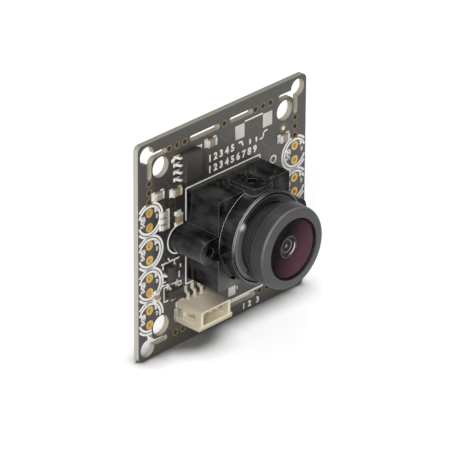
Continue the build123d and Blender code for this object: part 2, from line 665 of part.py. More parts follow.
def sensor_package():
    """Ceramic tray with a square well for the die."""
    well = box(SENSOR_WELL_SIDE, SENSOR_WELL_SIDE, SENSOR_WELL_DEPTH, z=WELL_FLOOR)
    return box(SENSOR_SIDE, SENSOR_SIDE, SENSOR_HEIGHT) - well


def sensor_die():
    return box(DIE_WIDTH, DIE_DEPTH, DIE_THICKNESS, z=WELL_FLOOR)


def sensor_window():
    return box(WINDOW_GLASS_SIDE, WINDOW_GLASS_SIDE, WINDOW_GLASS_THICKNESS, z=SENSOR_HEIGHT)


def infrared_filter():
    """Thin square glass against its seat under the lens."""
    return box(FILTER_SIDE, FILTER_SIDE, FILTER_THICKNESS, z=FILTER_SEAT_HEIGHT - FILTER_THICKNESS)


# Connector


def connector_pins():
    """Flat pins that stand in the mouth and run out of the back to feet on the board."""
    row = PIN_ROW_DROP + PIN_THICKNESS / 2
    heel = PIN_LEG_REACH - PIN_FOOT_LENGTH
    path = [
        (-PIN_LEG_REACH, 0),
        (-heel, 0),
        (-heel + PIN_EXIT_HEIGHT / 2, PIN_EXIT_HEIGHT),
        (row - PIN_BEND, PIN_EXIT_HEIGHT),
        (row, PIN_EXIT_HEIGHT + PIN_BEND),
        (row, PIN_TIP_HEIGHT),
    ]
    pin = Rot(0, 0, -90) * bent_strip(path, PIN_THICKNESS, PIN_WIDTH)
    first = CONNECTOR_X - (PIN_COUNT - 1) / 2 * PIN_PITCH
    return [Pos(first + index * PIN_PITCH, CONNECTOR_TOP, 0) * pin for index in range(PIN_COUNT)]


def connector_tabs():
    """Bent tabs beside the housing, soldered to the board."""
    y = CONNECTOR_BOTTOM + TAB_WIDTH / 2 + TAB_THICKNESS
    tabs = []
    for side in (-1, 1):
        wall = CONNECTOR_X + side * CONNECTOR_HALF
        upright = box(TAB_THICKNESS, TAB_WIDTH, TAB_HEIGHT, wall + side * TAB_THICKNESS / 2, y)
        foot = box(TAB_FOOT_LENGTH, TAB_WIDTH, TAB_THICKNESS, wall + side * TAB_FOOT_LENGTH / 2, y)
        tabs.append(upright + foot)
    return tabs


def connector_housing():
    """Shrouded header: solid base, open mouth, a window in each side and a wide lower lip."""
    middle = (CONNECTOR_TOP + CONNECTOR_BOTTOM) / 2
    lip_y = CONNECTOR_BOTTOM + CONNECTOR_LIP_THICKNESS / 2
    lip_width = CONNECTOR_WIDTH + 2 * CONNECTOR_LIP_OVERHANG
    housing = box(CONNECTOR_WIDTH, CONNECTOR_HEIGHT, CONNECTOR_DEPTH, CONNECTOR_X, middle)
    housing += box(lip_width, CONNECTOR_LIP_THICKNESS, CONNECTOR_DEPTH, CONNECTOR_X, lip_y)
    mouth_top = CONNECTOR_TOP - CONNECTOR_TOP_WALL
    mouth_bottom = CONNECTOR_BOTTOM + CONNECTOR_LIP_THICKNESS
    mouth_width = CONNECTOR_WIDTH - 2 * CONNECTOR_WALL
    mouth_height = mouth_top - mouth_bottom
    mouth_y = (mouth_top + mouth_bottom) / 2
    mouth_depth = CONNECTOR_DEPTH - CONNECTOR_FLOOR
    housing -= box(mouth_width, mouth_height, mouth_depth, CONNECTOR_X, mouth_y, CONNECTOR_FLOOR)
    housing -= box(
        lip_width,
        CONNECTOR_WINDOW_HEIGHT,
        CONNECTOR_WINDOW_LENGTH,
        CONNECTOR_X,
        mouth_y,
        CONNECTOR_FLOOR,
    )
    return housing - connector_pins() - connector_tabs()


# Chips


def lead(reach, width, exit_height):
    """Bent lead from a chip's side at x = 0 to its foot on the board."""
    low = exit_height - LEAD_THICKNESS / 2
    path = [(0, low), (LEAD_SHOULDER * reach, low), (LEAD_HEEL * reach, 0), (reach, 0)]
    return bent_strip(path, LEAD_THICKNESS, width)


def lead_row(count, pitch, x, reach, width, exit_height):
    """Leads side by side along y, out of the face at x."""
    first = -(count - 1) / 2 * pitch
    one = lead(reach, width, exit_height)
    return [Pos(x, first + index * pitch, 0) * one for index in range(count)]


def moulded_body(width, length, height):
    """Chip body that slopes away above and below the band its leads come out of."""
    outline = Rectangle(width, length)
    band_low = (height - LEAD_THICKNESS) / 2
    band = extrude(Pos(0, 0, band_low) * outline, LEAD_THICKNESS)
    top = loft([
        Pos(0, 0, band_low + LEAD_THICKNESS) * outline,
        Pos(0, 0, height) * Rectangle(width - 2 * CHIP_SLOPE, length - 2 * CHIP_SLOPE),
    ])
    bottom = loft([
        Pos(0, 0, band_low) * outline,
        Pos(0, 0, CHIP_STAND_OFF) * Rectangle(width - 2 * CHIP_SLOPE, length - 2 * CHIP_SLOPE),
    ])
    return band + top + bottom


def memory_chip():
    """Memory chip body and its two rows of leads, upper left of the lens."""
    place = Pos(LEFT + MEMORY_INSET_X, TOP - MEMORY_INSET_Y, 0)
    row = lead_row(
        MEMORY_LEADS_PER_SIDE,
        MEMORY_LEAD_PITCH,
        MEMORY_WIDTH / 2,
        MEMORY_LEAD_REACH,
        MEMORY_LEAD_WIDTH,
        MEMORY_HEIGHT / 2,
    )
    leads = row + [Rot(0, 0, 180) * one for one in row]
    body = moulded_body(MEMORY_WIDTH, MEMORY_LENGTH, MEMORY_HEIGHT)
    return place * body, [place * one for one in leads]


def regulator(place):
    """Small regulator body with two leads on one side and one on the other."""
    reach = REGULATOR_LEAD_REACH
    exit_height = REGULATOR_HEIGHT / 2
    size = (REGULATOR_WIDTH / 2, reach, REGULATOR_LEAD_WIDTH, exit_height)
    pair = lead_row(2, 2 * REGULATOR_LEAD_PITCH, *size)
    single = [Rot(0, 0, 180) * one for one in lead_row(1, REGULATOR_LEAD_PITCH, *size)]
    body = moulded_body(REGULATOR_WIDTH, REGULATOR_LENGTH, REGULATOR_HEIGHT)
    return place * body, [place * one for one in pair + single]


def processor():
    """Square processor on the board's back, with a row of leads on each side."""
    row = lead_row(
        PROCESSOR_LEADS_PER_SIDE,
        PROCESSOR_LEAD_PITCH,
        PROCESSOR_SIDE / 2,
        PROCESSOR_LEAD_REACH,
        PROCESSOR_LEAD_WIDTH,
        PROCESSOR_HEIGHT / 2,
    )
    leads = [BACK * Rot(0, 0, turn) * one for turn in (0, 90, 180, 270) for one in row]
    return BACK * moulded_body(PROCESSOR_SIDE, PROCESSOR_SIDE, PROCESSOR_HEIGHT), leads


def two_ended(size, place):
    """Body and two end terminals of a chip resistor or capacitor that lies along x."""
    length, width, height = size
    body_length = length - 2 * CHIP_TERMINAL_LENGTH
    reach = (length - CHIP_TERMINAL_LENGTH) / 2
    body = place * box(body_length, width, height)
    ends = [place * box(CHIP_TERMINAL_LENGTH, width, height, side * reach) for side in (-1, 1)]
    return body, ends


def crystal():
    """Ceramic tray with a metal lid, on the board's back."""
    lid_length = CRYSTAL_LENGTH - 2 * CRYSTAL_LID_INSET
    lid_width = CRYSTAL_WIDTH - 2 * CRYSTAL_LID_INSET
    lid = box(lid_length, lid_width, CRYSTAL_HEIGHT)
    return box(CRYSTAL_LENGTH, CRYSTAL_WIDTH, CRYSTAL_BASE_HEIGHT) + lid


def inductor():
    """Drum core wound between a square foot and an eight-sided cap."""
    foot = box(INDUCTOR_SIDE, INDUCTOR_SIDE, INDUCTOR_FLANGE_HEIGHT)
    winding = extrude(Circle(INDUCTOR_CORE_DIAMETER / 2), INDUCTOR_HEIGHT)
    octagon = RegularPolygon(INDUCTOR_SIDE / 2, INDUCTOR_CAP_SIDES, major_radius=False)
    cap = extrude(Rot(0, 0, 180 / INDUCTOR_CAP_SIDES) * octagon, INDUCTOR_FLANGE_HEIGHT)
    return foot + winding + Pos(0, 0, INDUCTOR_HEIGHT - INDUCTOR_FLANGE_HEIGHT) * cap


def tantalum():
    """Moulded capacitor body and its two flat terminals."""
    body = extrude(
        Pos(0, 0, TANTALUM_TERMINAL_THICKNESS) * Rectangle(TANTALUM_LENGTH, TANTALUM_WIDTH),
        TANTALUM_HEIGHT - TANTALUM_TERMINAL_THICKNESS,
        taper=TANTALUM_TAPER,
    )
    reach = (TANTALUM_LENGTH - TANTALUM_TERMINAL_LENGTH) / 2
    ends = [
        box(
            TANTALUM_TERMINAL_LENGTH,
            TANTALUM_TERMINAL_WIDTH,
            TANTALUM_TERMINAL_THICKNESS,
            side * reach,
        )
        for side in (-1, 1)
    ]
    return body, ends


# Writing the pieces


def save(node, pieces):
    """Write one node's solids, turned to the part's own frame."""
    pieces = pieces if isinstance(pieces, (list, tuple)) else [pieces]
    solids = [BOARD_FRONT * solid for piece in pieces for solid in piece.solids()]
    export_step(Compound(solids) if len(solids) > 1 else solids[0], f"parts/{node}.step")


def main():
    os.makedirs("parts", exist_ok=True)
    save("circuit_board", circuit_board())
    save("lamp_pads", lamp_pads())
    save("tinned_pads", tinned_pads())
    save("lens_holder", lens_holder())
    save("holder_screws", holder_screws())
    save("lens_lock_screw", lens_lock_screw())
    save("lens_barrel", lens_barrel())
    save("front_bezel", front_bezel())
    save("lock_ring", lock_ring())
    save("front_element", front_element())
    save("lens_baffle", lens_baffle())
    second_radius = BAFFLE_BORE_DIAMETER / 2 - GLASS_CLEARANCE
    save("second_element", inner_glass(SECOND_GLASS_HEIGHT, SECOND_GLASS_THICKNESS, second_radius))
    save("spacer_ring", spacer_ring())
    save("aperture_stop", aperture_stop())
    save("middle_element", inner_glass(MIDDLE_GLASS_HEIGHT, MIDDLE_GLASS_THICKNESS, STACK_RADIUS))
    save("rear_element", inner_glass(REAR_GLASS_HEIGHT, REAR_GLASS_THICKNESS, STACK_RADIUS))
    save("infrared_filter", infrared_filter())
    save("sensor_package", sensor_package())
    save("sensor_die", sensor_die())
    save("sensor_window", sensor_window())
    save("connector_housing", connector_housing())
    save("connector_pins", connector_pins())
    save("connector_tabs", connector_tabs())
    memory_body, memory_leads = memory_chip()
    save("memory_chip", memory_body)
    save("memory_leads", memory_leads)
    regulators = [regulator(place) for place in REGULATOR_PLACES]
    save("regulator_chips", [body for body, _ in regulators])
    save("regulator_leads", [one for _, leads in regulators for one in leads])
    processor_body, processor_leads = processor()
    save("processor_chip", processor_body)
    save("processor_leads", processor_leads)
    capacitors = [two_ended(size, place) for size, place in CAPACITORS]
    resistors = [two_ended(size, place) for size, place in RESISTORS]
    save("chip_capacitors", [body for body, _ in capacitors])
    save("chip_resistors", [body for body, _ in resistors])
    save("chip_terminals", [end for _, ends in capacitors + resistors for end in ends])
    save("crystal", CRYSTAL_PLACE * crystal())
    save("power_inductor", INDUCTOR_PLACE * inductor())
    tantalum_body, tantalum_ends = tantalum()
    save("tantalum_capacitors", [place * tantalum_body for place in TANTALUM_PLACES])
    save("tantalum_terminals", [place * end for place in TANTALUM_PLACES for end in tantalum_ends])


main()
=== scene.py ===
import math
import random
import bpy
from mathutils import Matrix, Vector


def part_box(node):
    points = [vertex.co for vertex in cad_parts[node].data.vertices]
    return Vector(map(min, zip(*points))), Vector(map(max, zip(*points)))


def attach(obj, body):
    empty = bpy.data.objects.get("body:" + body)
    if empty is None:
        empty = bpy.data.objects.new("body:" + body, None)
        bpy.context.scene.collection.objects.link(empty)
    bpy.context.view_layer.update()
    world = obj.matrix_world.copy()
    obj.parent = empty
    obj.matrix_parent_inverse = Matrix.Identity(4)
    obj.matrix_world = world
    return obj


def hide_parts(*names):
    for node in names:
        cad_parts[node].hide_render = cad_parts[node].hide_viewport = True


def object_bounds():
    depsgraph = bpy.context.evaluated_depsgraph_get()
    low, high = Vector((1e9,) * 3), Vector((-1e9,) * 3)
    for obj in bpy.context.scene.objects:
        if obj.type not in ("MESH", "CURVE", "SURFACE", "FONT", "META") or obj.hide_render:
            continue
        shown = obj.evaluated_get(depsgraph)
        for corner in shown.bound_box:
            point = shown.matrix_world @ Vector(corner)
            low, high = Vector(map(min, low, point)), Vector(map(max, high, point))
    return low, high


bl_info = {
    "name": "Board camera module",
    "version": (1, 0, 0),
    "blender": (4, 5, 0),
    "location": "3D View > Sidebar > Camera module",
    "description": "Dresses a board camera's CAD frame with its finishes, print, solder and lens",
    "category": "Object",
}

import bmesh
import bpy
from bpy.props import FloatProperty, FloatVectorProperty, IntProperty, PointerProperty
from mathutils import Matrix, Vector

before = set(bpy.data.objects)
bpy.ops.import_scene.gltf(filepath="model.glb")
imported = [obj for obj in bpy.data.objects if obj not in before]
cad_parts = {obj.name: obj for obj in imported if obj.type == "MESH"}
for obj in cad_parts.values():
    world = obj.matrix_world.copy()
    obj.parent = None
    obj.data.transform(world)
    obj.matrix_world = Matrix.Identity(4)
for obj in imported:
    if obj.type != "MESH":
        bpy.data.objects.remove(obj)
CAD_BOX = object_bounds()

# Everything flat is drawn on the board's front face, in millimetres: x to the right, y up and
# z out of the face. on_board() and LAID_ON_BOARD take it to the part's frame, in metres.
MM = 0.001
LAID_ON_BOARD = Matrix.Scale(MM, 4) @ Matrix.Rotation(math.pi / 2, 4, "X")
WELD_GAP = 0.000002
FLAT_ANGLE = math.radians(1)
SMOOTH_ANGLE = math.radians(32)
EDGE_STEPS = 2
CORNER_SHARE = 1 / 2.2


# Values in a node tree


class Value:
    """One output socket. Sums and comparisons on it add their Math nodes."""

    def __init__(self, nodes, socket):
        self.nodes = nodes
        self.socket = socket

    def maths(self, operation, *values, clamp=False):
        settings = {"operation": operation, "use_clamp": clamp}
        return self.nodes.value("ShaderNodeMath", settings, dict(enumerate(values)))

    def __add__(self, other):
        return self.maths("ADD", self, other)

    def __sub__(self, other):
        return self.maths("SUBTRACT", self, other)

    def __rsub__(self, other):
        return self.maths("SUBTRACT", other, self)

    def __mul__(self, other):
        return self.maths("MULTIPLY", self, other)

    def __truediv__(self, other):
        return self.maths("DIVIDE", self, other)

    def __gt__(self, other):
        return self.maths("GREATER_THAN", self, other)

    def __lt__(self, other):
        return self.maths("LESS_THAN", self, other)

    def __abs__(self):
        return self.maths("ABSOLUTE", self)

    def clamped(self):
        return self.maths("ADD", self, 0.0, clamp=True)

    def sine(self):
        return self.maths("SINE", self)

    def root(self):
        return self.maths("SQRT", self)


class Nodes:
    """Adds nodes to one tree, with their settings first and their sockets after."""

    def __init__(self, tree):
        self.tree = tree

    def add(self, kind, settings=None, sockets=None):
        node = self.tree.nodes.new(kind)
        for name, setting in (settings or {}).items():
            if name == "stops":
                for stop, (place, colour) in zip(node.color_ramp.elements, setting):
                    stop.position = place
                    stop.color = colour
            else:
                setattr(node, name, setting)
        for key, content in (sockets or {}).items():
            socket = node.inputs[key]
            if isinstance(content, Value):
                self.tree.links.new(content.socket, socket)
            else:
                socket.default_value = content
        return node

    def value(self, kind, settings=None, sockets=None, output=0):
        return Value(self, self.add(kind, settings, sockets).outputs[output])


class Finish(Nodes):
    """A material with one Principled shader, and the textures that its finishes share."""

    def __init__(self, name):
        self.material = bpy.data.materials.new(name)
        self.material.use_nodes = True
        super().__init__(self.material.node_tree)
        self.tree.nodes.clear()
        self.place = self.value("ShaderNodeTexCoord", output="Object")

    def noise(self, grain_mm, detail=2.0, stretch=None):
        """Noise from 0 to 1 whose lumps are about grain_mm wide, stretched along some axes."""
        place = self.place
        if stretch:
            place = self.value("ShaderNodeMapping", sockets={"Vector": place, "Scale": stretch})
        sockets = {"Vector": place, "Scale": 1 / (grain_mm * MM), "Detail": detail}
        return self.value("ShaderNodeTexNoise", sockets=sockets)

    def coordinate(self, axis):
        """Place along one axis of the part, in millimetres."""
        parts = self.add("ShaderNodeSeparateXYZ", sockets={"Vector": self.place})
        return Value(self, parts.outputs[axis]) / MM

    def facing(self, axis):
        """How far the surface faces along one axis of the part, from -1 to 1."""
        normal = self.value("ShaderNodeTexCoord", output="Normal")
        parts = self.add("ShaderNodeSeparateXYZ", sockets={"Vector": normal})
        return Value(self, parts.outputs[axis])

    def mix(self, factor, first, second):
        settings = {"data_type": "RGBA"}
        sockets = {"Factor": factor, 6: first, 7: second}
        return self.value("ShaderNodeMix", settings, sockets, output=2)

    def between(self, factor, low, high):
        return factor * (high - low) + low

    def bump(self, height, strength, depth_mm, under=None):
        sockets = {"Height": height, "Strength": strength, "Distance": depth_mm * MM}
        if under is not None:
            sockets["Normal"] = under
        return self.value("ShaderNodeBump", sockets=sockets)

    def done(self, **sockets):
        """The material, with the Principled shader's sockets filled."""
        named = {name.replace("_", " "): content for name, content in sockets.items()}
        shader = self.value("ShaderNodeBsdfPrincipled", sockets=named)
        self.add("ShaderNodeOutputMaterial", sockets={"Surface": shader})
        return self.material


def rgb(code):
    """Linear colour, with its alpha, of an sRGB colour written as six hexadecimal digits."""
    parts = [int(code[start:start + 2], 16) / 255 for start in (0, 2, 4)]
    linear = [
        part / 12.92 if part <= 0.04045 else ((part + 0.055) / 1.055) ** 2.4
        for part in parts
    ]
    return (*linear, 1.0)


# Settings that a user may change


class BoardSettings(bpy.types.PropertyGroup):
    mask: FloatVectorProperty(
        name="Solder mask", description="Colour of the mask on both faces",
        default=rgb("4b4742"), size=4, subtype="COLOR",
    )
    laminate: FloatVectorProperty(
        name="Laminate", description="Colour of the bare glass-fibre edges",
        default=rgb("b2aea4"), size=4, subtype="COLOR",
    )
    print_colour: FloatVectorProperty(
        name="Print", description="Colour of the printed outlines",
        default=rgb("f5f3ee"), size=4, subtype="COLOR",
    )
    print_line: FloatProperty(
        name="Print line", description="Width of a printed line",
        default=0.00025, unit="LENGTH",
    )
    lamp_line: FloatProperty(
        name="Lamp print line",
        description="Width of the printed rings and marks round the lamp pads",
        default=0.00038, unit="LENGTH",
    )
    track_count: IntProperty(
        name="Tracks", description="Copper tracks that show through the mask of each face",
        default=150, min=0,
    )


class HolderSettings(bpy.types.PropertyGroup):
    plastic: FloatVectorProperty(
        name="Plastic", description="Colour of the moulding",
        default=rgb("1c1b1b"), size=4, subtype="COLOR",
    )
    edge: FloatProperty(
        name="Edge", description="Width of the rounding along its edges",
        default=0.00012, unit="LENGTH",
    )


class LensSettings(bpy.types.PropertyGroup):
    barrel: FloatVectorProperty(
        name="Barrel", description="Colour of the barrel's anodising",
        default=rgb("333232"), size=4, subtype="COLOR",
    )
    bezel: FloatVectorProperty(
        name="Bezel", description="Colour of the front bezel",
        default=rgb("4e4d4d"), size=4, subtype="COLOR",
    )
    coating: FloatVectorProperty(
        name="Coating",
        description="Colour of the dish under the front glass, where light falls in",
        default=rgb("63404a"), size=4, subtype="COLOR",
    )
    thread_pitch: FloatProperty(
        name="Thread pitch", description="Pitch of the focusing thread",
        default=0.0005, unit="LENGTH",
    )
    turned_sides: IntProperty(
        name="Turned sides", description="Sides of the turned lens pieces",
        default=160, min=24,
    )


class StageSettings(bpy.types.PropertyGroup):
    key_power: FloatProperty(
        name="Key light", description="Power of the large light at the front left",
        default=5.0, unit="POWER",
    )
    top_power: FloatProperty(
        name="Top light", description="Power of the small light above and behind",
        default=0.55, unit="POWER",
    )
    sky: FloatProperty(
        name="Sky", description="Strength of the even light from all round",
        default=0.35,
    )
    contact: FloatProperty(
        name="Contact shadow", description="Reach of the shade round the board's foot",
        default=0.0055, unit="LENGTH",
    )


# Making meshes


def on_board(x, y, height=0.0):
    """Point of the part's frame, in metres, over a place on the board's front."""
    return LAID_ON_BOARD @ Vector((x, y, height))


def mesh_from(name, points, edges=(), faces=()):
    mesh = bpy.data.meshes.new(name)
    mesh.from_pydata(points, edges, faces)
    return mesh


def joined(mesh):
    """Working copy of a mesh with its doubled corners joined."""
    work = bmesh.new()
    work.from_mesh(mesh)
    bmesh.ops.remove_doubles(work, verts=work.verts, dist=WELD_GAP)
    return work


def written(work, mesh):
    work.to_mesh(mesh)
    work.free()


def outward(mesh):
    """Joins a mesh's doubled corners and turns its faces outwards."""
    work = joined(mesh)
    bmesh.ops.recalc_face_normals(work, faces=work.faces)
    written(work, mesh)


def smoothed(mesh, angle=SMOOTH_ANGLE):
    mesh.shade_smooth()
    mesh.set_sharp_from_angle(angle=angle)


def placed(name, data):
    """New object of the scene from its mesh, curve, light or camera data."""
    piece = bpy.data.objects.new(name, data)
    bpy.context.scene.collection.objects.link(piece)
    return piece


def kept(piece):
    """The same object with its modifiers turned into plain mesh."""
    shape = piece.evaluated_get(bpy.context.evaluated_depsgraph_get())
    mesh = bpy.data.meshes.new_from_object(shape)
    piece.modifiers.clear()
    piece.data = mesh
    return piece


def fitted(piece, body, nodes=(), material=None):
    """Lets a piece ride on its body, take its material and stand for its CAD nodes."""
    if material:
        piece.data.materials.clear()
        piece.data.materials.append(material)
    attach(piece, body)
    if nodes:
        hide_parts(*nodes)
    return piece


def dressed(node, body, material, edge=0.0, edge_material=None):
    """Copy of a CAD node with its corners joined and its edges rounded by some millimetres."""
    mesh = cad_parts[node].data.copy()
    mesh.name = node + "_dressed"
    work = joined(mesh)
    bmesh.ops.dissolve_limit(work, angle_limit=FLAT_ANGLE, verts=work.verts, edges=work.edges)
    written(work, mesh)
    piece = placed(node + "_dressed", mesh)
    if edge:
        mesh.shade_smooth()
        rounding = piece.modifiers.new("Edges", "BEVEL")
        rounding.width = edge * MM
        rounding.segments = EDGE_STEPS
        rounding.limit_method = "ANGLE"
        rounding.angle_limit = SMOOTH_ANGLE
        rounding.harden_normals = True
        if edge_material:
            rounding.material = 1
            mesh.materials.clear()
            for finish in (material, edge_material):
                mesh.materials.append(finish)
            material = None
        kept(piece)
    else:
        smoothed(mesh)
    return fitted(piece, body, [node], material)


def dressed_rows(body, rows):
    """Dresses CAD nodes from rows of node, slot, finish and rounding in millimetres."""
    for node, slot, finish, edge in rows:
        dressed(node, body, finish, edge)


def rounded(outline, radius, steps=3):
    """Closed outline of (radius, height) points with its corners rounded."""
    points = []
    for index, corner in enumerate(outline):
        corner = Vector(corner)
        before = Vector(outline[index - 1]) - corner
        after = Vector(outline[(index + 1) % len(outline)]) - corner
        reach = min(radius, before.length * CORNER_SHARE, after.length * CORNER_SHARE)
        start = corner + before.normalized() * reach
        end = corner + after.normalized() * reach
        for step in range(steps + 1):
            share = step / steps
            points.append(start.lerp(corner, share).lerp(corner.lerp(end, share), share))
    return points


def turned(name, outline, sides, body, node, material):
    """Piece turned about the optical axis from a closed outline of (radius, height) points."""
    points = []
    faces = []
    count = len(outline)
    for side in range(sides):
        angle = 2 * math.pi * side / sides
        points += [on_board(r * math.cos(angle), r * math.sin(angle), z) for r, z in outline]
        for index in range(count):
            follow = (index + 1) % count
            base, turn = side * count, (side + 1) % sides * count
            faces.append((base + index, base + follow, turn + follow, turn + index))
    mesh = mesh_from(name, points, faces=faces)
    outward(mesh)
    smoothed(mesh)
    return fitted(placed(name, mesh), body, [node], material)


def loose_parts(node):
    """Boxes (low, high) of a CAD node's separate solids, as places on the board's front."""
    work = joined(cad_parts[node].data)
    unseen = set(work.verts)
    boxes = []
    to_board = LAID_ON_BOARD.inverted()
    while unseen:
        group = [unseen.pop()]
        for vertex in group:
            for edge in vertex.link_edges:
                other = edge.other_vert(vertex)
                if other in unseen:
                    unseen.remove(other)
                    group.append(other)
        places = [to_board @ vertex.co for vertex in group]
        low = Vector([min(place[axis] for place in places) for axis in range(3)])
        high = Vector([max(place[axis] for place in places) for axis in range(3)])
        boxes.append((low, high))
    work.free()
    return sorted(boxes, key=lambda box: [round(place, 2) for place in box[0]])


# Geometry Nodes


class Grower(Nodes):
    """A Geometry Nodes tree with named inputs, whose result is laid on the board."""

    def __init__(self, name, inputs):
        tree = bpy.data.node_groups.new(name, "GeometryNodeTree")
        super().__init__(tree)
        face = tree.interface
        face.new_socket("Geometry", in_out="INPUT", socket_type="NodeSocketGeometry")
        for label, kind in inputs.items():
            socket = face.new_socket(label, in_out="INPUT", socket_type="NodeSocket" + kind)
            if kind == "Float":
                socket.subtype = "DISTANCE"
        face.new_socket("Material", in_out="INPUT", socket_type="NodeSocketMaterial")
        face.new_socket("Geometry", in_out="OUTPUT", socket_type="NodeSocketGeometry")
        self.entry = self.add("NodeGroupInput")

    def given(self, label):
        return Value(self, self.entry.outputs[label])

    def circle(self, sides, radius):
        sockets = {"Resolution": sides, "Radius": radius}
        return self.value("GeometryNodeCurvePrimitiveCircle", sockets=sockets)

    def strip(self, width, height):
        sockets = {"Width": width, "Height": height}
        return self.value("GeometryNodeCurvePrimitiveQuadrilateral", sockets=sockets)

    def upright(self, curve):
        """The same curve with its normals level, so that a strip along it lies flat."""
        settings, sockets = {"mode": "Z_UP"}, {"Curve": curve}
        return self.value("GeometryNodeSetCurveNormal", settings, sockets)

    def swept(self, path, section, capped=False):
        sockets = {"Curve": path, "Profile Curve": section, "Fill Caps": capped}
        return self.value("GeometryNodeCurveToMesh", sockets=sockets)

    def lifted(self, geometry, height):
        up = self.value("ShaderNodeCombineXYZ", sockets={"Z": height})
        sockets = {"Geometry": geometry, "Translation": up}
        return self.value("GeometryNodeTransform", sockets=sockets)

    def ended(self, geometry):
        """Ends the tree: made real, turned to the board's face and given its material."""
        real = self.value("GeometryNodeRealizeInstances", sockets={"Geometry": geometry})
        sockets = {"Geometry": real, "Rotation": (math.pi / 2, 0, 0)}
        laid = self.value("GeometryNodeTransform", sockets=sockets)
        sockets = {"Geometry": laid, "Material": self.given("Material")}
        painted = self.value("GeometryNodeSetMaterial", sockets=sockets)
        self.add("NodeGroupOutput", sockets={"Geometry": painted})
        return self.tree


def grown(name, seed, tree, body, slot, nodes=(), **inputs):
    """Piece grown from a seed mesh by a Geometry Nodes tree, kept as a plain mesh."""
    piece = placed(name, seed)
    growth = piece.modifiers.new("Growth", "NODES")
    growth.node_group = tree
    wanted = {label.replace("_", " "): content for label, content in inputs.items()}
    for item in tree.interface.items_tree:
        if item.in_out == "INPUT" and item.name in wanted:
            growth[item.identifier] = wanted[item.name]
    kept(piece)
    outward(piece.data)
    smoothed(piece.data)
    return fitted(piece, body, nodes)


def ring_tree():
    """A flat ring at each point, with a plated wall down its hole where Wall Depth isn't 0."""
    tree = Grower("Rings", {
        "Outer Radius": "Float",
        "Inner Radius": "Float",
        "Rise": "Float",
        "Wall Depth": "Float",
        "Sides": "Int",
    })
    outer, inner = tree.given("Outer Radius"), tree.given("Inner Radius")
    rise, depth, sides = tree.given("Rise"), tree.given("Wall Depth"), tree.given("Sides")
    ring = tree.swept(tree.circle(sides, (outer + inner) / 2), tree.strip(outer - inner, rise))
    ring = tree.lifted(ring, rise / 2)
    wall = tree.swept(tree.circle(sides, inner), tree.strip(rise, depth))
    wall = tree.lifted(wall, depth / -2)
    settings, sockets = {"input_type": "GEOMETRY"}, {"Switch": depth > 0.0, "True": wall}
    wall = tree.value("GeometryNodeSwitch", settings, sockets)
    both = tree.add("GeometryNodeJoinGeometry")
    for part in (ring, wall):
        tree.tree.links.new(part.socket, both.inputs[0])
    sockets = {"Points": tree.given("Geometry"), "Instance": Value(tree, both.outputs[0])}
    return tree.ended(tree.value("GeometryNodeInstanceOnPoints", sockets=sockets))


def stroke_tree():
    """A flat ribbon along every line of the drawing."""
    tree = Grower("Strokes", {"Width": "Float", "Rise": "Float"})
    lines = tree.value("GeometryNodeMeshToCurve", sockets={"Mesh": tree.given("Geometry")})
    section = tree.strip(tree.given("Width"), tree.given("Rise"))
    return tree.ended(tree.swept(tree.upright(lines), section, capped=True))


def thread_tree():
    """A screw thread's ridge round the optical axis, from its start height forward."""
    tree = Grower("Thread", {
        "Root Radius": "Float",
        "Crest Radius": "Float",
        "Pitch": "Float",
        "Start": "Float",
        "Length": "Float",
        "Sides": "Int",
    })
    root, crest = tree.given("Root Radius"), tree.given("Crest Radius")
    pitch, length = tree.given("Pitch"), tree.given("Length")
    spiral = tree.value("GeometryNodeCurveSpiral", sockets={
        "Resolution": tree.given("Sides"),
        "Rotations": length / pitch,
        "Start Radius": root,
        "End Radius": root,
        "Height": length,
    })
    ridge = tree.swept(tree.upright(spiral), tree.circle(3, crest - root), capped=True)
    return tree.ended(tree.lifted(ridge, tree.given("Start")))


def solder_tree():
    """A solder fillet at each point: a low pyramid as large as the point's size attribute."""
    tree = Grower("Solder", {})
    corner = math.sqrt(0.5)
    fillet = tree.value("GeometryNodeMeshCone", {"fill_type": "NGON"}, {
        "Vertices": 4, "Radius Top": FILLET_TOP * corner, "Radius Bottom": corner, "Depth": 1.0,
    })
    sockets = {"Geometry": fillet, "Rotation": (0, 0, math.pi / 4)}
    fillet = tree.value("GeometryNodeTransform", sockets=sockets)
    settings = {"data_type": "FLOAT_VECTOR"}
    size = tree.value("GeometryNodeInputNamedAttribute", settings, {"Name": "size"})
    sockets = {"Points": tree.given("Geometry"), "Instance": fillet, "Scale": size}
    return tree.ended(tree.value("GeometryNodeInstanceOnPoints", sockets=sockets))


def drawing_points(name, places, height=0.0):
    """Seed mesh with a point at each (x, y) place of the drawing."""
    return mesh_from(name, [Vector((x, y, height)) * MM for x, y in places])


def drawing_lines(name, lines, height=0.0):
    """Seed mesh with an edge along every step of each line of (x, y) points."""
    points = []
    edges = []
    for line in lines:
        start = len(points)
        points += [Vector((x, y, height)) * MM for x, y in line]
        edges += [(start + step, start + step + 1) for step in range(len(line) - 1)]
    return mesh_from(name, points, edges)


# Sizes read from the frame, as places on the board's front


def frame_box(node):
    """Low and high corner of a CAD node."""
    low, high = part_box(node)
    return (
        Vector((low.x, low.z, -high.y)) / MM,
        Vector((high.x, high.z, -low.y)) / MM,
    )


def middles(node):
    """Middle of each solid of a CAD node, as a place of the drawing."""
    return [((low + high) / 2).to_2d() for low, high in loose_parts(node)]


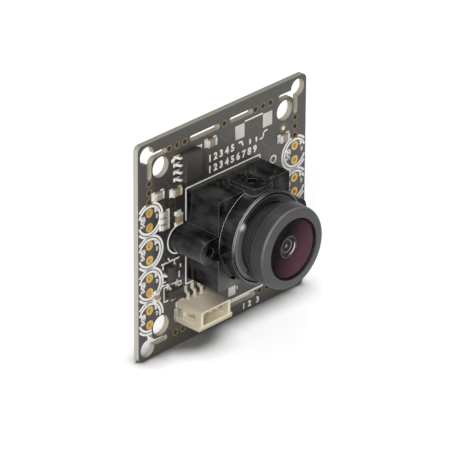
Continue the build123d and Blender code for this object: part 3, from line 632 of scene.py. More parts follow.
BOARD_LOW, BOARD_HIGH = frame_box("circuit_board")
BARREL_LOW, BARREL_HIGH = frame_box("lens_barrel")
BEZEL_LOW, BEZEL_HIGH = frame_box("front_bezel")
GLASS_LOW, GLASS_HIGH = frame_box("front_element")
BAFFLE_LOW, BAFFLE_HIGH = frame_box("lens_baffle")
SECOND_LOW, SECOND_HIGH = frame_box("second_element")
CONNECTOR_LOW, CONNECTOR_HIGH = frame_box("connector_housing")
BOARD_EDGE = BOARD_HIGH.x
BOARD_THICKNESS = BOARD_HIGH.z - BOARD_LOW.z
LAMP_PLACES = middles("lamp_pads")

# Least share of a normal along an axis for its face to count as facing that way
FACING = 0.7

# Directions of the front view, right and up, in which round pieces catch the light
LOWER_RIGHT = (0.82, -0.57)
COLLAR_SIDE = (-0.75, 0.66)
BEZEL_SIDE = (-0.5, 0.86)
RING_SIDE = (-0.995, -0.105)

# Middle and reach of the painted shade on the mask, of the painted highlight on the left lug, of
# the painted reflection of the floor at the foot of the holder's front, and of the painted
# highlight by the lock ring's notch
MASK_SHADE_PATCH = ((-11.0, 3.0), 10.5)
LUG_HIGHLIGHT = ((-11.7, -1.0), 1.5)
FRONT_FLOOR_REFLECTION = ((-5.0, -7.6), 5.5)
RING_HIGHLIGHT_SPOT = ((-5.85, 4.0), 0.8)

# How far in from its sides the connector counts as inside, for its painted light, and the board's
# edge as sawn, past which walls are routed and partly painted shade
CONNECTOR_WALL = 0.42
SAWN_DEPTH = 0.3

# Front edge of the recess in the holder's collar, and the reach of the painted highlight on its lip
# either side of it
COLLAR_LIP_RADIUS = 7.5
COLLAR_LIP_REACH = (0.2, 0.45)

# Snap line, as in the board's CAD
SNAP_EDGE = 16.0
SNAP_LINE = 16.5
PERFORATION_DIAMETER = 0.75
PERFORATION_RIM_DIAMETER = 1.25
PERFORATION_RIM_WIDTH = 0.17
PERFORATION_WALL = 0.03
RIM_RISE = 0.015
TOP_PERFORATIONS = (-12.09, -10.37, -8.65, 0.25, 7.3, 9.02, 10.74)
SIDE_PERFORATIONS = (8.75, 10.35, 11.95)
INNER_HOLES = [(x, y) for x in (-14.0, 14.0) for y in (-14.0, 14.0)]
INNER_HOLE_DIAMETER = 3.5
INNER_HOLE_CLEAR = 2.2
PAD_HOLE_DIAMETER = 0.8
PAD_DIAMETER = 1.55
PAD_RISE = 0.04
PLATING = 0.04
DOT_HOLE_RADIUS = 0.01

# Print
PRINT_RISE = 0.02
OUTLINE_HALF_WIDTH = 8.4
OUTLINE_HEIGHTS = (-8.76, 8.17)
LUG_PRINT_RADIUS = 2.45
LUG_PRINT_GAP = 1.05
LUG_PLACE = 10.0
BRACKET_GAP = 0.45
BRACKET_ARM = 0.25
BRACKETS_BELOW = 2.0
PRINT_EDGE_GAP = 0.25
PRINT_HOLE_GAP = 0.15
LAMP_RING_RADII = (2.9, 2.35)
LAMP_PAIRS = (5.6, -0.15, -5.9, -11.65)
LAMP_MARK_OFFSET = 1.55
LABEL_STEPS = 4
LABEL_STYLE = {"size": 1.4, "weight": 0.05}
NUMBER_STYLE = {"size": 1.65, "weight": 0.07}
PIN_LABELS = {"1": 4.95, "2": 6.3, "3": 8.2}
PIN_LABEL_LINE = -18.0

# Short printed marks: by the connector, round the regulators, and over and under the pads
MARKS = [
    [(-10.5, -12.6), (-10.6, -11.3), (-9.0, -11.1)],
    [(-12.4, -2.6), (-12.0, -3.3), (-11.2, -3.3)],
    [(-10.9, -3.35), (-9.9, -3.35)],
    [(-13.9, -3.3), (-12.8, -3.3)],
    [(-13.7, -7.3), (-13.7, -6.6), (-12.9, -6.6)],
    [(-11.9, -6.9), (-11.6, -7.5), (-10.9, -7.6), (-10.3, -7.2)],
    [(-9.6, -4.6), (-9.6, -5.2)],
    [(-9.9, -5.8), (-9.9, -6.9)],
    [(4.86, 15.25), (8.97, 15.25)],
    [(10.1, 12.0), (9.4, 11.95), (9.15, 11.6), (9.1, 11.1), (8.8, 10.9), (8.3, 10.9)],
    [(2.45, -13.95), (2.45, -13.2)],
    [(3.4, -14.2), (3.4, -13.6)],
]

# Short strokes beside a lamp's pads, from the middle of the left marks and of the right ones
LEFT_STROKES = [
    [(0.1, -0.85), (0.1, 0.9)],
    [(-0.4, 0.85), (0.5, 0.85)],
    [(-0.4, 0.1), (0.5, 0.1)],
    [(-0.4, -0.6), (0.5, -0.6)],
    [(0.45, 0.85), (0.45, 0.1)],
    [(-0.35, 0.5), (-0.05, 0.5)],
]
RIGHT_STROKES = [
    [(-0.42, 1.6), (0.12, 1.5), (0.12, 1.1)],
    [(-0.3, 1.3), (-0.1, 1.0)],
    [(-0.05, 0.55), (0.25, 0.2), (-0.05, -0.1)],
    [(0.15, 0.45), (0.15, -0.05)],
]

BAR = [(1.5, -15.75), (9.4, -15.75)]
MARK_RING = (11.5, 6.2, 0.62)
PIN_ONE_MARK = (-11.3, 14.1)
PIN_ONE_RADIUS = 0.38
BOLD_LINE = 0.36
BOLD_MARKS = [
    [(7.5, 11.6), (7.6, 10.75)],
    [(6.1, 11.7), (6.1, 10.85)],
    [(3.5, 11.95), (4.2, 11.95), (4.45, 11.2)],
]
NUMBER_ROWS = [("1 2 3 4 5", -0.45, 11.5), ("1 2 3 4 5 6 7 8 9", 2.1, 9.55)]

# Fiducial
FIDUCIAL = (13.75, 10.95)
FIDUCIAL_RADIUS = 0.38
FIDUCIAL_CLEAR_RADII = (0.82, FIDUCIAL_RADIUS * 1.6)

# Tracks and vias
TRACK_GRID = 0.635
TRACK_WIDTH = 0.2
TRACK_RISE = 0.012
TRACK_REACH = 15.2
FRONT_SEED = 5
BACK_SEED = 8
VIA_RISE = TRACK_RISE * 1.5
VIA_DIAMETER = 0.55
VIA_HOLE_DIAMETER = 0.25

# Lens
THREAD_RADIUS = 6.0
THREAD_DEPTH = 0.27
THREAD_RELIEF = 0.3
THREAD_SIDES = 72
HEAD_REAR = 11.7
HEAD_TAPER = 0.1
HEAD_BORE_RADIUS = 5.6
HEAD_BORE_FLOOR = 12.3
REAR_BORE_RADIUS = 4.4
REAR_LIP_RADIUS = 3.2
REAR_LIP = 0.5
TURNED_EDGE = 0.1
BEZEL_EDGE = 0.06
TOOL_MARK = 0.9
FINE_TOOL_MARK = 0.12
BEZEL_TAPER = 0.14
BEZEL_RIM_RISE = 0.35
BEZEL_LIP = 0.2
# Width of the painted highlight line on the bezel's front edge
BEZEL_HIGHLIGHT_LINE = 0.07
PROFILE_STEPS = 24
WINDOW_RADIUS = 5.22
DOME_RADIUS = 5.1
HEAD_REAR_CHAMFER = 0.28
HEAD_GROOVE_REAR = 0.5
HEAD_GROOVE_FRONT = 0.72
HEAD_GROOVE_DEPTH = 0.16
HEAD_GROOVE_SLOPES = (0.04, 0.08)

# Stretches of the head's side, from its rear, painted near black as shade: by the gap at its rear
# and in its groove
HEAD_REAR_SHADE = (-0.05, 0.35)
HEAD_GROOVE_SHADE = (0.48, 0.78)

PUPIL_DOT_RADIUS = 0.3
PUPIL_RIM_RADIUS = 0.98
PUPIL_RIM_WIDTH = 0.16
PUPIL_STEPS = [
    (0.0, 0.5), (0.3, 0.51), (0.62, 0.57), (0.66, 0.5), (1.0, 0.46),
    (1.1, 0.36), (1.22, 0.36), (1.62, 0.04), (1.7, 0.0),
]
# Radii of the painted highlight crescent on the retaining ring
CRESCENT_HIGHLIGHT_RADII = (1.46, 1.6)
FAINT_RING_RADII = (1.72, 1.86)
BAFFLE_RING_PITCH = 0.55
HOLLOW_RADIUS = 4.95
HOLLOW_NECK = 0.2
CROWN_THICKNESS = 0.6
BAFFLE_RIM_RADIUS = 4.9
BAFFLE_BORE_RADIUS = 1.98
BAFFLE_CONE_DEPTH = 0.55
BAFFLE_NECK = 0.59
BAFFLE_LEDGE_WIDTH = 0.45
BAFFLE_LEDGE_DEPTH = 1.79

# Solder
LEAD_NODES = ("memory_leads", "regulator_leads", "processor_leads")
FILLET_TOP = 0.62
FILLET_OVERHANG = 0.32
FILLET_SIDE = 0.12
FILLET_SHARE = 0.5
LAND_OVERHANG = 0.22
LAND_SIDE = 0.12
LAND_RISE = 0.07


# Finishes


def worn(name, colour, other, roughness, grain_mm=0.4, metallic=0.0):
    """Finish whose colour and gloss wander a little over the surface, with a fine grain."""
    finish = Finish(name)
    broad = finish.noise(6 * grain_mm, detail=3.0)
    fine = finish.noise(grain_mm, detail=4.0)
    return finish.done(
        Base_Color=finish.mix(broad, rgb(colour), rgb(other)),
        Metallic=metallic,
        Roughness=finish.between(fine, roughness * 0.8, roughness * 1.2),
        Normal=finish.bump(fine, 0.08, grain_mm * 0.1),
    )


def shade(colour, factor):
    """The same colour, darker or lighter."""
    return [min(1.0, part * factor) for part in colour[:3]] + [1.0]


def from_middle(finish):
    """Distance from the board's middle to the square through a point, in millimetres."""
    across, up = abs(finish.coordinate("X")), abs(finish.coordinate("Z"))
    return across.maths("MAXIMUM", across, up)


def spot(finish, place, reach, full=1.0):
    """Full at a place of the front view, at most 1, and fading to 0 towards its reach."""
    across, up = finish.coordinate("X") - place[0], finish.coordinate("Z") - place[1]
    return (full - (across * across + up * up).root() / reach).clamped()


def within(value, low, high):
    """1 between two bounds and 0 elsewhere."""
    return (value > low) * (value < high)


def from_axis(finish, right, up):
    """Distance from the optical axis, and how far a point lies in a direction of the front view."""
    x, y = finish.coordinate("X"), finish.coordinate("Z")
    return (x * x + y * y).root(), x * right + y * up


def sector(finish, direction, start, slope):
    """Distance from the optical axis, and a share that rises from 0 to 1 towards a direction."""
    radius, along = from_axis(finish, *direction)
    return radius, ((along / radius - start) * slope).clamped()


def masked(finish, settings):
    """Colour of the mask, patchy, with painted shade inside the snap lines, darkest round the
    holder's left.
    """
    inside = ((SNAP_EDGE - from_middle(finish)) * 0.8).clamped()
    patchy = finish.noise(9.0, detail=3.0)
    # Painted shade: the mask darkens inside the snap lines towards the holder's left
    depth = (inside * spot(finish, *MASK_SHADE_PATCH, full=1.3) + patchy * 0.3).clamped()
    return finish.mix(depth, settings.mask, shade(settings.mask, 0.27))


def board_finish(settings):
    """Dark mask on both faces, and bare laminate on every edge, with painted shade on the edges
    that face up and on the routed walls, which are also stained.
    """
    finish = Finish("board_laminate")
    face = abs(finish.facing("Y")) > FACING
    up_facing_shade = finish.facing("Z").clamped()
    fine = finish.noise(0.12, detail=3.0)
    fibres = finish.noise(0.25, detail=4.0, stretch=(0.25, 6.0, 0.25))
    stain_and_shade = finish.noise(3.0, detail=2.0)
    mask = masked(finish, settings)
    sawn = finish.mix(fibres, settings.laminate, shade(settings.laminate, 1.15))
    # Painted shade: laminate edges that face up take a darker colour
    sawn = finish.mix(up_facing_shade, sawn, rgb("8f9082"))
    # Routed walls: a stain, and a darker colour that is painted shade inside the holes
    routed = finish.mix(stain_and_shade, rgb("b2aa92"), rgb("96918b"))
    cut = from_middle(finish) < BOARD_EDGE - SAWN_DEPTH
    laminate = finish.mix(cut, sawn, routed)
    return finish.done(
        Base_Color=finish.mix(face, laminate, mask),
        Roughness=finish.between(face, 0.75, 0.42) + (fine - 0.5) * 0.08,
        Normal=finish.bump(fine, 0.12, 0.01),
    )


def copper_finish(settings):
    """Mask over copper, a little lighter and smoother than the mask over bare laminate."""
    finish = Finish("masked_copper")
    fine = finish.noise(0.3, detail=3.0)
    return finish.done(
        Base_Color=finish.mix(fine * 0.12 + 0.04, masked(finish, settings), rgb("9a8f80")),
        Roughness=finish.between(fine, 0.32, 0.42),
    )


def print_finish(settings):
    """Print that is worn a little darker and duller in places."""
    finish = Finish("board_print")
    wear = finish.noise(0.35, detail=4.0)
    return finish.done(
        Base_Color=finish.mix(wear, settings.print_colour, shade(settings.print_colour, 0.86)),
        Roughness=finish.between(wear, 0.5, 0.7),
    )


def collar_highlight(finish):
    """Painted highlight: 1 round the upper left of the collar's front lip, fading to 0 round the
    rest.
    """
    radius, share = sector(finish, COLLAR_SIDE, 0.7, 5.0)
    inner, outer = COLLAR_LIP_REACH
    return within(radius, COLLAR_LIP_RADIUS - inner, COLLAR_LIP_RADIUS + outer) * share


def holder_finish(settings):
    """Glossy moulding with painted blotchy reflections, a painted highlight on its left lug, a
    painted reflection of the floor at its foot and a painted highlight round its collar's lip.
    """
    finish = Finish("holder_plastic")
    colour = settings.plastic
    # Blotchy dark and light patches of the colour: painted reflections
    reflection_noise = finish.noise(3.4, detail=3.0, stretch=(1.0, 0.5, 1.0))
    reflection_blotch = ((reflection_noise - 0.5) * 4.6 + 0.35).clamped()
    fine = finish.noise(0.15, detail=2.0)
    # Painted highlight on the left lug
    lug_highlight = spot(finish, *LUG_HIGHLIGHT) * (reflection_blotch * 0.6 + 0.4)
    front = finish.facing("Y") < -FACING
    reflected_colour = finish.mix(reflection_blotch, shade(colour, 0.3), shade(colour, 3.8))
    # Painted reflection of the floor at the foot of the front
    reflected_colour = finish.mix(spot(finish, *FRONT_FLOOR_REFLECTION) * front, reflected_colour, rgb("6c6a68"))
    # Painted highlight round the upper left of the collar's lip
    reflected_colour = finish.mix(collar_highlight(finish) * front * 0.5, reflected_colour, rgb("b4b4b4"))
    return finish.done(
        Base_Color=finish.mix(lug_highlight, reflected_colour, rgb("5c5c5e")),
        Roughness=finish.between(reflection_blotch, 0.126, 0.27),
        Specular_IOR_Level=0.12,
        Normal=finish.bump(fine, 0.05, 0.01),
    )


def holder_edge_highlight_finish():
    """Edges of the moulding in grey, a painted highlight, brightest round the upper left of its
    collar.
    """
    finish = Finish("holder_edges")
    # The grey of the edges is a painted highlight, white round the upper left of the collar
    highlight_tone = finish.noise(2.4, detail=3.0)
    grey = finish.mix(highlight_tone, rgb("949496"), rgb("6a6a6c"))
    return finish.done(
        Base_Color=finish.mix(collar_highlight(finish), grey, rgb("f0f0f0")),
        Roughness=finish.between(highlight_tone, 0.2, 0.3),
    )


def barrel_finish(settings):
    """Turned surface with fine tool marks, and near black painted shade at the head's rear and in
    its groove.
    """
    finish = Finish("barrel_metal")
    colour, place = settings.barrel, finish.coordinate("Y")
    height = place * -1.0 - HEAD_REAR
    # Painted shade: near black at the head's rear and in its groove
    black = within(height, *HEAD_REAR_SHADE) + within(height, *HEAD_GROOVE_SHADE)
    fine = (place * (2 * math.pi / FINE_TOOL_MARK)).sine()
    cuts = (place * (2 * math.pi / TOOL_MARK)).sine()
    broad = finish.noise(3.0, detail=3.0)
    worked = finish.mix((broad + cuts * 0.25).clamped(), colour, shade(colour, 0.78))
    return finish.done(
        Base_Color=finish.mix(black, worked, shade(colour, 0.12)),
        Metallic=0.2,
        Roughness=finish.between(broad, 0.357, 0.483),
        Specular_IOR_Level=0.35,
        Normal=finish.bump(fine, 0.25, 0.01),
    )


def ring_finish():
    """Black lock ring, with a painted highlight in grey along its left side and a bright painted
    highlight beside one notch.
    """
    finish = Finish("ring_plastic")
    # Painted highlights: grey along the ring's left side, and a bright spot beside one notch
    _, highlight_tone = sector(finish, RING_SIDE, 0.66, 6.0)
    fine = finish.noise(0.4, detail=3.0)
    colour = finish.mix(highlight_tone, rgb("222223"), rgb("5e5e60"))
    return finish.done(
        Base_Color=finish.mix(spot(finish, *RING_HIGHLIGHT_SPOT), colour, rgb("d2d2d2")),
        Roughness=finish.between(fine, 0.3, 0.42),
        Specular_IOR_Level=0.3,
    )


def bezel_finish(settings):
    """Satin bezel with a painted highlight line round the upper left of its front edge."""
    finish = Finish("bezel_metal")
    radius, share = sector(finish, BEZEL_SIDE, 0.4 / 1.1, 1.1)
    shoulder = BEZEL_HIGH.x - BEZEL_TAPER
    # Painted highlight along the bezel's front edge, strongest at its upper left
    edge = within(radius, shoulder - BEZEL_HIGHLIGHT_LINE, shoulder + BEZEL_TAPER * 0.75)
    broad = finish.noise(3.0, detail=3.0)
    satin = finish.mix(broad, settings.bezel, shade(settings.bezel, 0.85))
    return finish.done(
        Base_Color=finish.mix(edge * share, satin, rgb("747371")),
        Metallic=0.2,
        Roughness=finish.between(broad, 0.45, 0.55),
        Specular_IOR_Level=0.35,
    )


def coated_glass(name, colour, clear, slanted=0.3):
    """Clear glass with a coating that shows its colour more the more it slants away."""
    finish = Finish(name)
    slant = finish.value("ShaderNodeLayerWeight", sockets={"Blend": 0.5}, output="Facing")
    smudge = finish.noise(6.0, detail=1.0)
    return finish.done(
        Base_Color=finish.mix(smudge, colour, shade(colour, 0.8)),
        Roughness=finish.between(smudge, 0.08, 0.14),
        Alpha=slant * slanted + clear,
        Specular_IOR_Level=0.1,
    )


def baffle_finish(settings):
    """Coated dish with painted light and shade: near black at its upper left, burgundy at its lower
    right.
    """
    finish = Finish("baffle_coating")
    radius, lower_right = from_axis(finish, *LOWER_RIGHT)
    broad = finish.noise(4.0, detail=1.0)
    ripples = (radius * (2 * math.pi / BAFFLE_RING_PITCH)).sine() * 0.04
    # Painted light and shade: the dish darkens towards its upper left and lightens towards its
    # lower right
    slope = (lower_right + BAFFLE_RIM_RADIUS * 0.38) / (BAFFLE_RIM_RADIUS * 1.1)
    lit = (slope + ripples + (broad - 0.5) * 0.06).clamped()
    tint = finish.mix(lit, rgb("050305"), settings.coating)
    rim = within(radius, BAFFLE_RIM_RADIUS - 0.03, HOLLOW_RADIUS + 0.02)
    return finish.done(
        Base_Color=finish.mix(rim, tint, rgb("0d080b")),
        Roughness=finish.between(broad, 0.4, 0.5),
        Specular_IOR_Level=0.04,
    )


def pupil_finish():
    """Black retaining rings with a painted highlight crescent, round the second glass's grey pupil.
    """
    finish = Finish("inner_lens")
    radius, share = sector(finish, LOWER_RIGHT, 0.6, 3.0)
    # Painted highlight: a crescent on the retaining ring towards the lower right
    crescent_highlight = within(radius, *CRESCENT_HIGHLIGHT_RADII) * share
    faint = within(radius, *FAINT_RING_RADII)
    ring = within(radius, PUPIL_RIM_RADIUS, PUPIL_RIM_RADIUS + PUPIL_RIM_WIDTH)
    dot = radius < PUPIL_DOT_RADIUS
    colour = finish.mix(faint * 0.45 + ring * 0.8, rgb("211820"), rgb("8d838a"))
    colour = finish.mix(dot, colour, rgb("8b8387"))
    return finish.done(
        Base_Color=finish.mix(crescent_highlight, colour, rgb("e6dce2")),
        Roughness=finish.between(dot, 0.3, 0.4),
        Specular_IOR_Level=0.2,
    )


def grained(finish, colour, low, high):
    """The finish ended as a moulded surface with a fine even grain, between two roughnesses."""
    grain = finish.noise(0.12, detail=3.0)
    return finish.done(
        Base_Color=colour,
        Roughness=finish.between(grain, low, high),
        Normal=finish.bump(grain, 0.15, 0.008),
    )


def moulded_finish(name, colour, roughness):
    """Moulded plastic or epoxy, a little darker in places."""
    finish = Finish(name)
    broad = finish.noise(2.5, detail=2.0)
    mixed = finish.mix(broad, rgb(colour), shade(rgb(colour), 0.85))
    return grained(finish, mixed, roughness * 0.85, roughness * 1.15)


def connector_finish():
    """Ivory nylon, with painted shade on its sides and painted light, paler and yellower, inside
    its walls.
    """
    finish = Finish("connector_plastic")
    # Painted shade: faces that look sideways take a darker colour
    side = abs(finish.facing("X"))
    across, up = finish.coordinate("X"), finish.coordinate("Z")
    low, high, wall = CONNECTOR_LOW, CONNECTOR_HIGH, CONNECTOR_WALL
    # Painted light: paler and yellower inside the connector's walls
    inside = within(across, low.x + wall, high.x - wall) * within(up, low.y + wall, high.y - wall)
    broad = finish.noise(2.5, detail=2.0)
    pale = finish.mix(broad, rgb("ded3bd"), rgb("cfc4ae"))
    walls = finish.mix(inside, pale, rgb("e8ddc0"))
    return grained(finish, finish.mix(side, walls, rgb("b3a994")), 0.4, 0.55)


# Board


def ringed(name, places, radii, rise, shape, slot, material, sides, wall=0.0, height=0.0, nodes=()):
    """Flat rings at places of the drawing, with plated walls as deep as wall says."""
    return grown(
        name, drawing_points(name + "_places", places, height), shape, "module", slot, nodes,
        Outer_Radius=radii[0] * MM, Inner_Radius=radii[1] * MM, Rise=rise * MM,
        Wall_Depth=wall * MM, Sides=sides, Material=material,
    )


def plated_rings(shape, gold, bare):
    """Plated lamp holes, rims and walls of the drilled holes, and the fiducial."""
    radii = (PAD_DIAMETER / 2, PAD_HOLE_DIAMETER / 2 - PLATING)
    common = (radii, PAD_RISE, shape, "gold_plating", gold, 32)
    ringed("lamp_rings", LAMP_PLACES, *common, wall=BOARD_THICKNESS, nodes=["lamp_pads"])
    ringed("lamp_rings_back", LAMP_PLACES, *common, height=-BOARD_THICKNESS - PAD_RISE)
    holes = [place for x in TOP_PERFORATIONS for place in ((x, SNAP_LINE), (-x, -SNAP_LINE))]
    holes += [(x, y) for y in SIDE_PERFORATIONS for x in (-SNAP_LINE, SNAP_LINE)]
    outer = PERFORATION_RIM_DIAMETER / 2
    radii = (outer, outer - PERFORATION_RIM_WIDTH)
    ringed("drill_rims", holes, radii, RIM_RISE, shape, "board_laminate", bare, 20)
    # Dark brown walls down the perforations: painted shade inside the holes
    hole_shade = worn("drill_walls", "4f402c", "3a2f21", 0.7, grain_mm=0.2)
    radii = (PERFORATION_DIAMETER / 2, PERFORATION_DIAMETER / 2 - PERFORATION_WALL)
    common = (radii, RIM_RISE, shape, "board_laminate", hole_shade, 20)
    ringed("drill_walls", holes, *common, wall=BOARD_THICKNESS)
    pale = worn("fiducial_plating", "f2e8c4", "dccf9e", 0.3, metallic=0.3)
    radii = (FIDUCIAL_RADIUS, DOT_HOLE_RADIUS)
    ringed("fiducial", [FIDUCIAL], radii, PAD_RISE, shape, "gold_plating", pale, 24)
    common = (FIDUCIAL_CLEAR_RADII, RIM_RISE, shape, "board_laminate", bare, 24)
    ringed("fiducial_rim", [FIDUCIAL], *common)


def circle_line(x, y, radius, start=0.0, sweep=360.0, steps=72):
    """Points along an arc, by default a full circle, with its angles in degrees."""
    angles = [math.radians(start + sweep * step / steps) for step in range(steps + 1)]
    return [(x + radius * math.cos(angle), y + radius * math.sin(angle)) for angle in angles]


def inside_board(line):
    """The stretches of a line that lie on the board, clear of its edge and its holes."""
    limit = BOARD_EDGE - PRINT_EDGE_GAP
    holes = [
        (x, y, PERFORATION_RIM_DIAMETER)
        for x in (-SNAP_LINE, SNAP_LINE) for y in SIDE_PERFORATIONS
    ]
    holes += [(x, y, INNER_HOLE_DIAMETER) for x, y in INNER_HOLES]
    stretches = [[]]
    for x, y in line:
        clear = all(
            math.dist((x, y), (hole_x, hole_y)) > diameter / 2 + PRINT_HOLE_GAP
            for hole_x, hole_y, diameter in holes
        )
        if clear and abs(x) < limit and abs(y) < limit:
            stretches[-1].append((x, y))
        elif stretches[-1]:
            stretches.append([])
    return [stretch for stretch in stretches if len(stretch) > 1]


def lamp_marks(x, middle):
    """Two rings round a lamp's pads, and the strokes to their left and right."""
    lines = []
    for radius in LAMP_RING_RADII:
        lines += inside_board(circle_line(x, middle, radius))
    for side, strokes in ((-1, LEFT_STROKES), (1, RIGHT_STROKES)):
        start = x + side * LAMP_MARK_OFFSET
        lines += [[(start + right, middle + up) for right, up in stroke] for stroke in strokes]
    return lines


def brackets(low, high):
    """Square brackets at the two ends of a part that is longer along x or y."""
    gap = BRACKET_GAP
    x0, x1, y0, y1 = low.x - gap, high.x + gap, low.y - gap, high.y + gap
    if x1 - x0 > y1 - y0:
        arm = (x1 - x0) * BRACKET_ARM
        ends = ((x0, x0 + arm), (x1, x1 - arm))
        return [[(inner, y0), (x, y0), (x, y1), (inner, y1)] for x, inner in ends]
    arm = (y1 - y0) * BRACKET_ARM
    ends = ((y0, y0 + arm), (y1, y1 - arm))
    return [[(x0, inner), (x0, y), (x1, y), (x1, inner)] for y, inner in ends]


def holder_outline():
    """Outline of the lens holder and its lugs on the board."""
    edge = OUTLINE_HALF_WIDTH
    lug = LUG_PRINT_RADIUS
    lines = []
    for side in (-1, 1):
        for height in OUTLINE_HEIGHTS:
            start = math.copysign(lug * LUG_PRINT_GAP, height)
            lines.append([(side * edge, start), (side * edge, height)])
            lines.append([(side * edge, height), (0, height)])
        start = 90 if side < 0 else -90
        lines.append(circle_line(side * LUG_PLACE, 0, lug, start, 180, 24))
    return lines


def front_print():
    """Every thin printed line on the board's front."""
    lines = holder_outline() + MARKS
    lines.append(circle_line(*MARK_RING))
    for node in ("regulator_chips", "chip_capacitors"):
        for low, high in loose_parts(node):
            if low.z > BOARD_LOW.z and low.y < BRACKETS_BELOW:
                lines += brackets(low, high)
    return lines


def printed(name, lines, width, shape, material, height=PRINT_RISE / 2, rise=PRINT_RISE):
    """Flat ribbons along lines of the drawing."""
    return grown(
        name, drawing_lines(name + "_lines", lines, height), shape, "module", "board_laminate",
        Width=width, Rise=rise * MM, Material=material,
    )


def label(name, text, x, y, material, size, weight):
    """Printed numbers on the board's front, as a thin slab."""
    curve = bpy.data.curves.new(name, "FONT")
    curve.body = text
    curve.size = size * MM
    curve.resolution_u = LABEL_STEPS
    curve.offset = weight * MM
    curve.extrude = PRINT_RISE / 2 * MM
    curve.align_x = "CENTER"
    curve.align_y = "CENTER"
    writing = placed(name, curve)
    shape = writing.evaluated_get(bpy.context.evaluated_depsgraph_get())
    mesh = bpy.data.meshes.new_from_object(shape)
    bpy.data.objects.remove(writing)
    mesh.transform(Matrix.Rotation(math.pi / 2, 4, "X"))
    mesh.transform(Matrix.Translation(on_board(x, y, PRINT_RISE / 2)))
    outward(mesh)
    return fitted(placed(name, mesh), "module", material=material)


class Routing:
    """Tracks on a square grid that never share a point, each from one via to another."""

    STEPS = [(1, 0), (1, 1), (0, 1), (-1, 1), (-1, 0), (-1, -1), (0, -1), (1, -1)]
    LEGS = (2, 4)
    LEG_STEPS = (2, 8)
    TRIES = 6

    def __init__(self, seed, keep_clear):
        self.chance = random.Random(seed)
        self.reach = int(TRACK_REACH / TRACK_GRID)
        self.taken = set()
        for low, high in keep_clear:
            columns, rows = (
                range(math.floor(low[axis] / TRACK_GRID), math.ceil(high[axis] / TRACK_GRID) + 1)
                for axis in range(2)
            )
            self.taken.update((column, row) for column in columns for row in rows)

    def free(self, point):
        return point not in self.taken and max(abs(point[0]), abs(point[1])) <= self.reach

    def track(self):
        """One track's corners on the grid, or None where it finds no room."""
        point = tuple(self.chance.randint(-self.reach, self.reach) for _ in range(2))
        if not self.free(point):
            return None
        heading = self.chance.randrange(len(self.STEPS))
        path = [point]
        for _ in range(self.chance.randint(*self.LEGS)):
            for _ in range(self.chance.randint(*self.LEG_STEPS)):
                step = self.STEPS[heading]
                follow = (point[0] + step[0], point[1] + step[1])
                if not self.free(follow):
                    break
                point = follow
                self.taken.add(point)
            path.append(point)
            heading = (heading + self.chance.choice((-1, 1))) % len(self.STEPS)
        corners = [path[0]] + [b for a, b in zip(path, path[1:]) if a != b]
        return corners if len(corners) > 1 else None

    def tracks(self, count):
        """At most this many tracks, as lines of the drawing."""
        found = []
        for _ in range(count * self.TRIES):
            path = self.track()
            if path and len(found) < count:
                found.append([(x * TRACK_GRID, y * TRACK_GRID) for x, y in path])
        return found


def routed(side, seed, count, keep_clear, strokes, shape, copper, height):
    """Tracks and vias of one face."""
    paths = Routing(seed, keep_clear).tracks(count)
    printed(side + "_tracks", paths, TRACK_WIDTH * MM, strokes, copper, height, TRACK_RISE)
    ends = [path[0] for path in paths] + [path[-1] for path in paths]
    common = ((VIA_DIAMETER / 2, VIA_HOLE_DIAMETER / 2), VIA_RISE, shape, "board_laminate", copper)
    ringed(side + "_vias", ends, *common, 12, height=height)


def hole_boxes():
    """Boxes round the inner holes, which the tracks of both faces keep clear of."""
    reach = Vector((INNER_HOLE_CLEAR, INNER_HOLE_CLEAR))
    return [(Vector(place) - reach, Vector(place) + reach) for place in INNER_HOLES]


def pad_boxes():
    """Boxes of the pads and leads that the front's tracks keep clear of."""
    nodes = ("tinned_pads", "memory_leads", "lamp_pads")
    return [box for node in nodes for box in loose_parts(node)]


# Operators


class CAMERA_OT_board(bpy.types.Operator):
    """Circuit board with its tracks and vias, its print and its plated and tinned pads"""
    bl_idname = "camera_module.board"
    bl_label = "Circuit board"

    def execute(self, context):
        settings = context.scene.module_board
        dressed("circuit_board", "module", board_finish(settings))
        gold = worn("gold_plating", "e0bb72", "cba258", 0.35, metallic=0.3)
        bare = worn("drill_rims", "8d7b60", "6b5a42", 0.6, grain_mm=0.2)
        shape, strokes = ring_tree(), stroke_tree()
        plated_rings(shape, gold, bare)
        copper = copper_finish(settings)
        holes, count = hole_boxes(), settings.track_count
        routed("front", FRONT_SEED, count, holes + pad_boxes(), strokes, shape, copper, 0.0)
        routed("back", BACK_SEED, count, holes, strokes, shape, copper, -BOARD_THICKNESS)
        ink = print_finish(settings)
        printed("board_print", front_print(), settings.print_line, strokes, ink)
        lamps = [(side * SNAP_LINE, middle) for side in (-1, 1) for middle in LAMP_PAIRS]
        marks = [line for x, middle in lamps for line in lamp_marks(x, middle)]
        printed("lamp_print", marks, settings.lamp_line, strokes, ink)
        printed("bar_print", [BAR] + BOLD_MARKS, BOLD_LINE * MM, strokes, ink)
        common = ((PIN_ONE_RADIUS, DOT_HOLE_RADIUS), PRINT_RISE, shape, "board_laminate", ink)
        ringed("pin_one_mark", [PIN_ONE_MARK], *common, 20)
        for text, x in PIN_LABELS.items():
            label("pin_label_" + text, text, x, PIN_LABEL_LINE, ink, **LABEL_STYLE)
        for row, (text, x, y) in enumerate(NUMBER_ROWS):
            label(f"number_row_{row}", text, x, y, ink, **NUMBER_STYLE)
        tin = worn("tin_plating", "cfccc6", "b3afa8", 0.3, metallic=0.75)
        dressed("tinned_pads", "module", tin, edge=0.02)
        return {"FINISHED"}


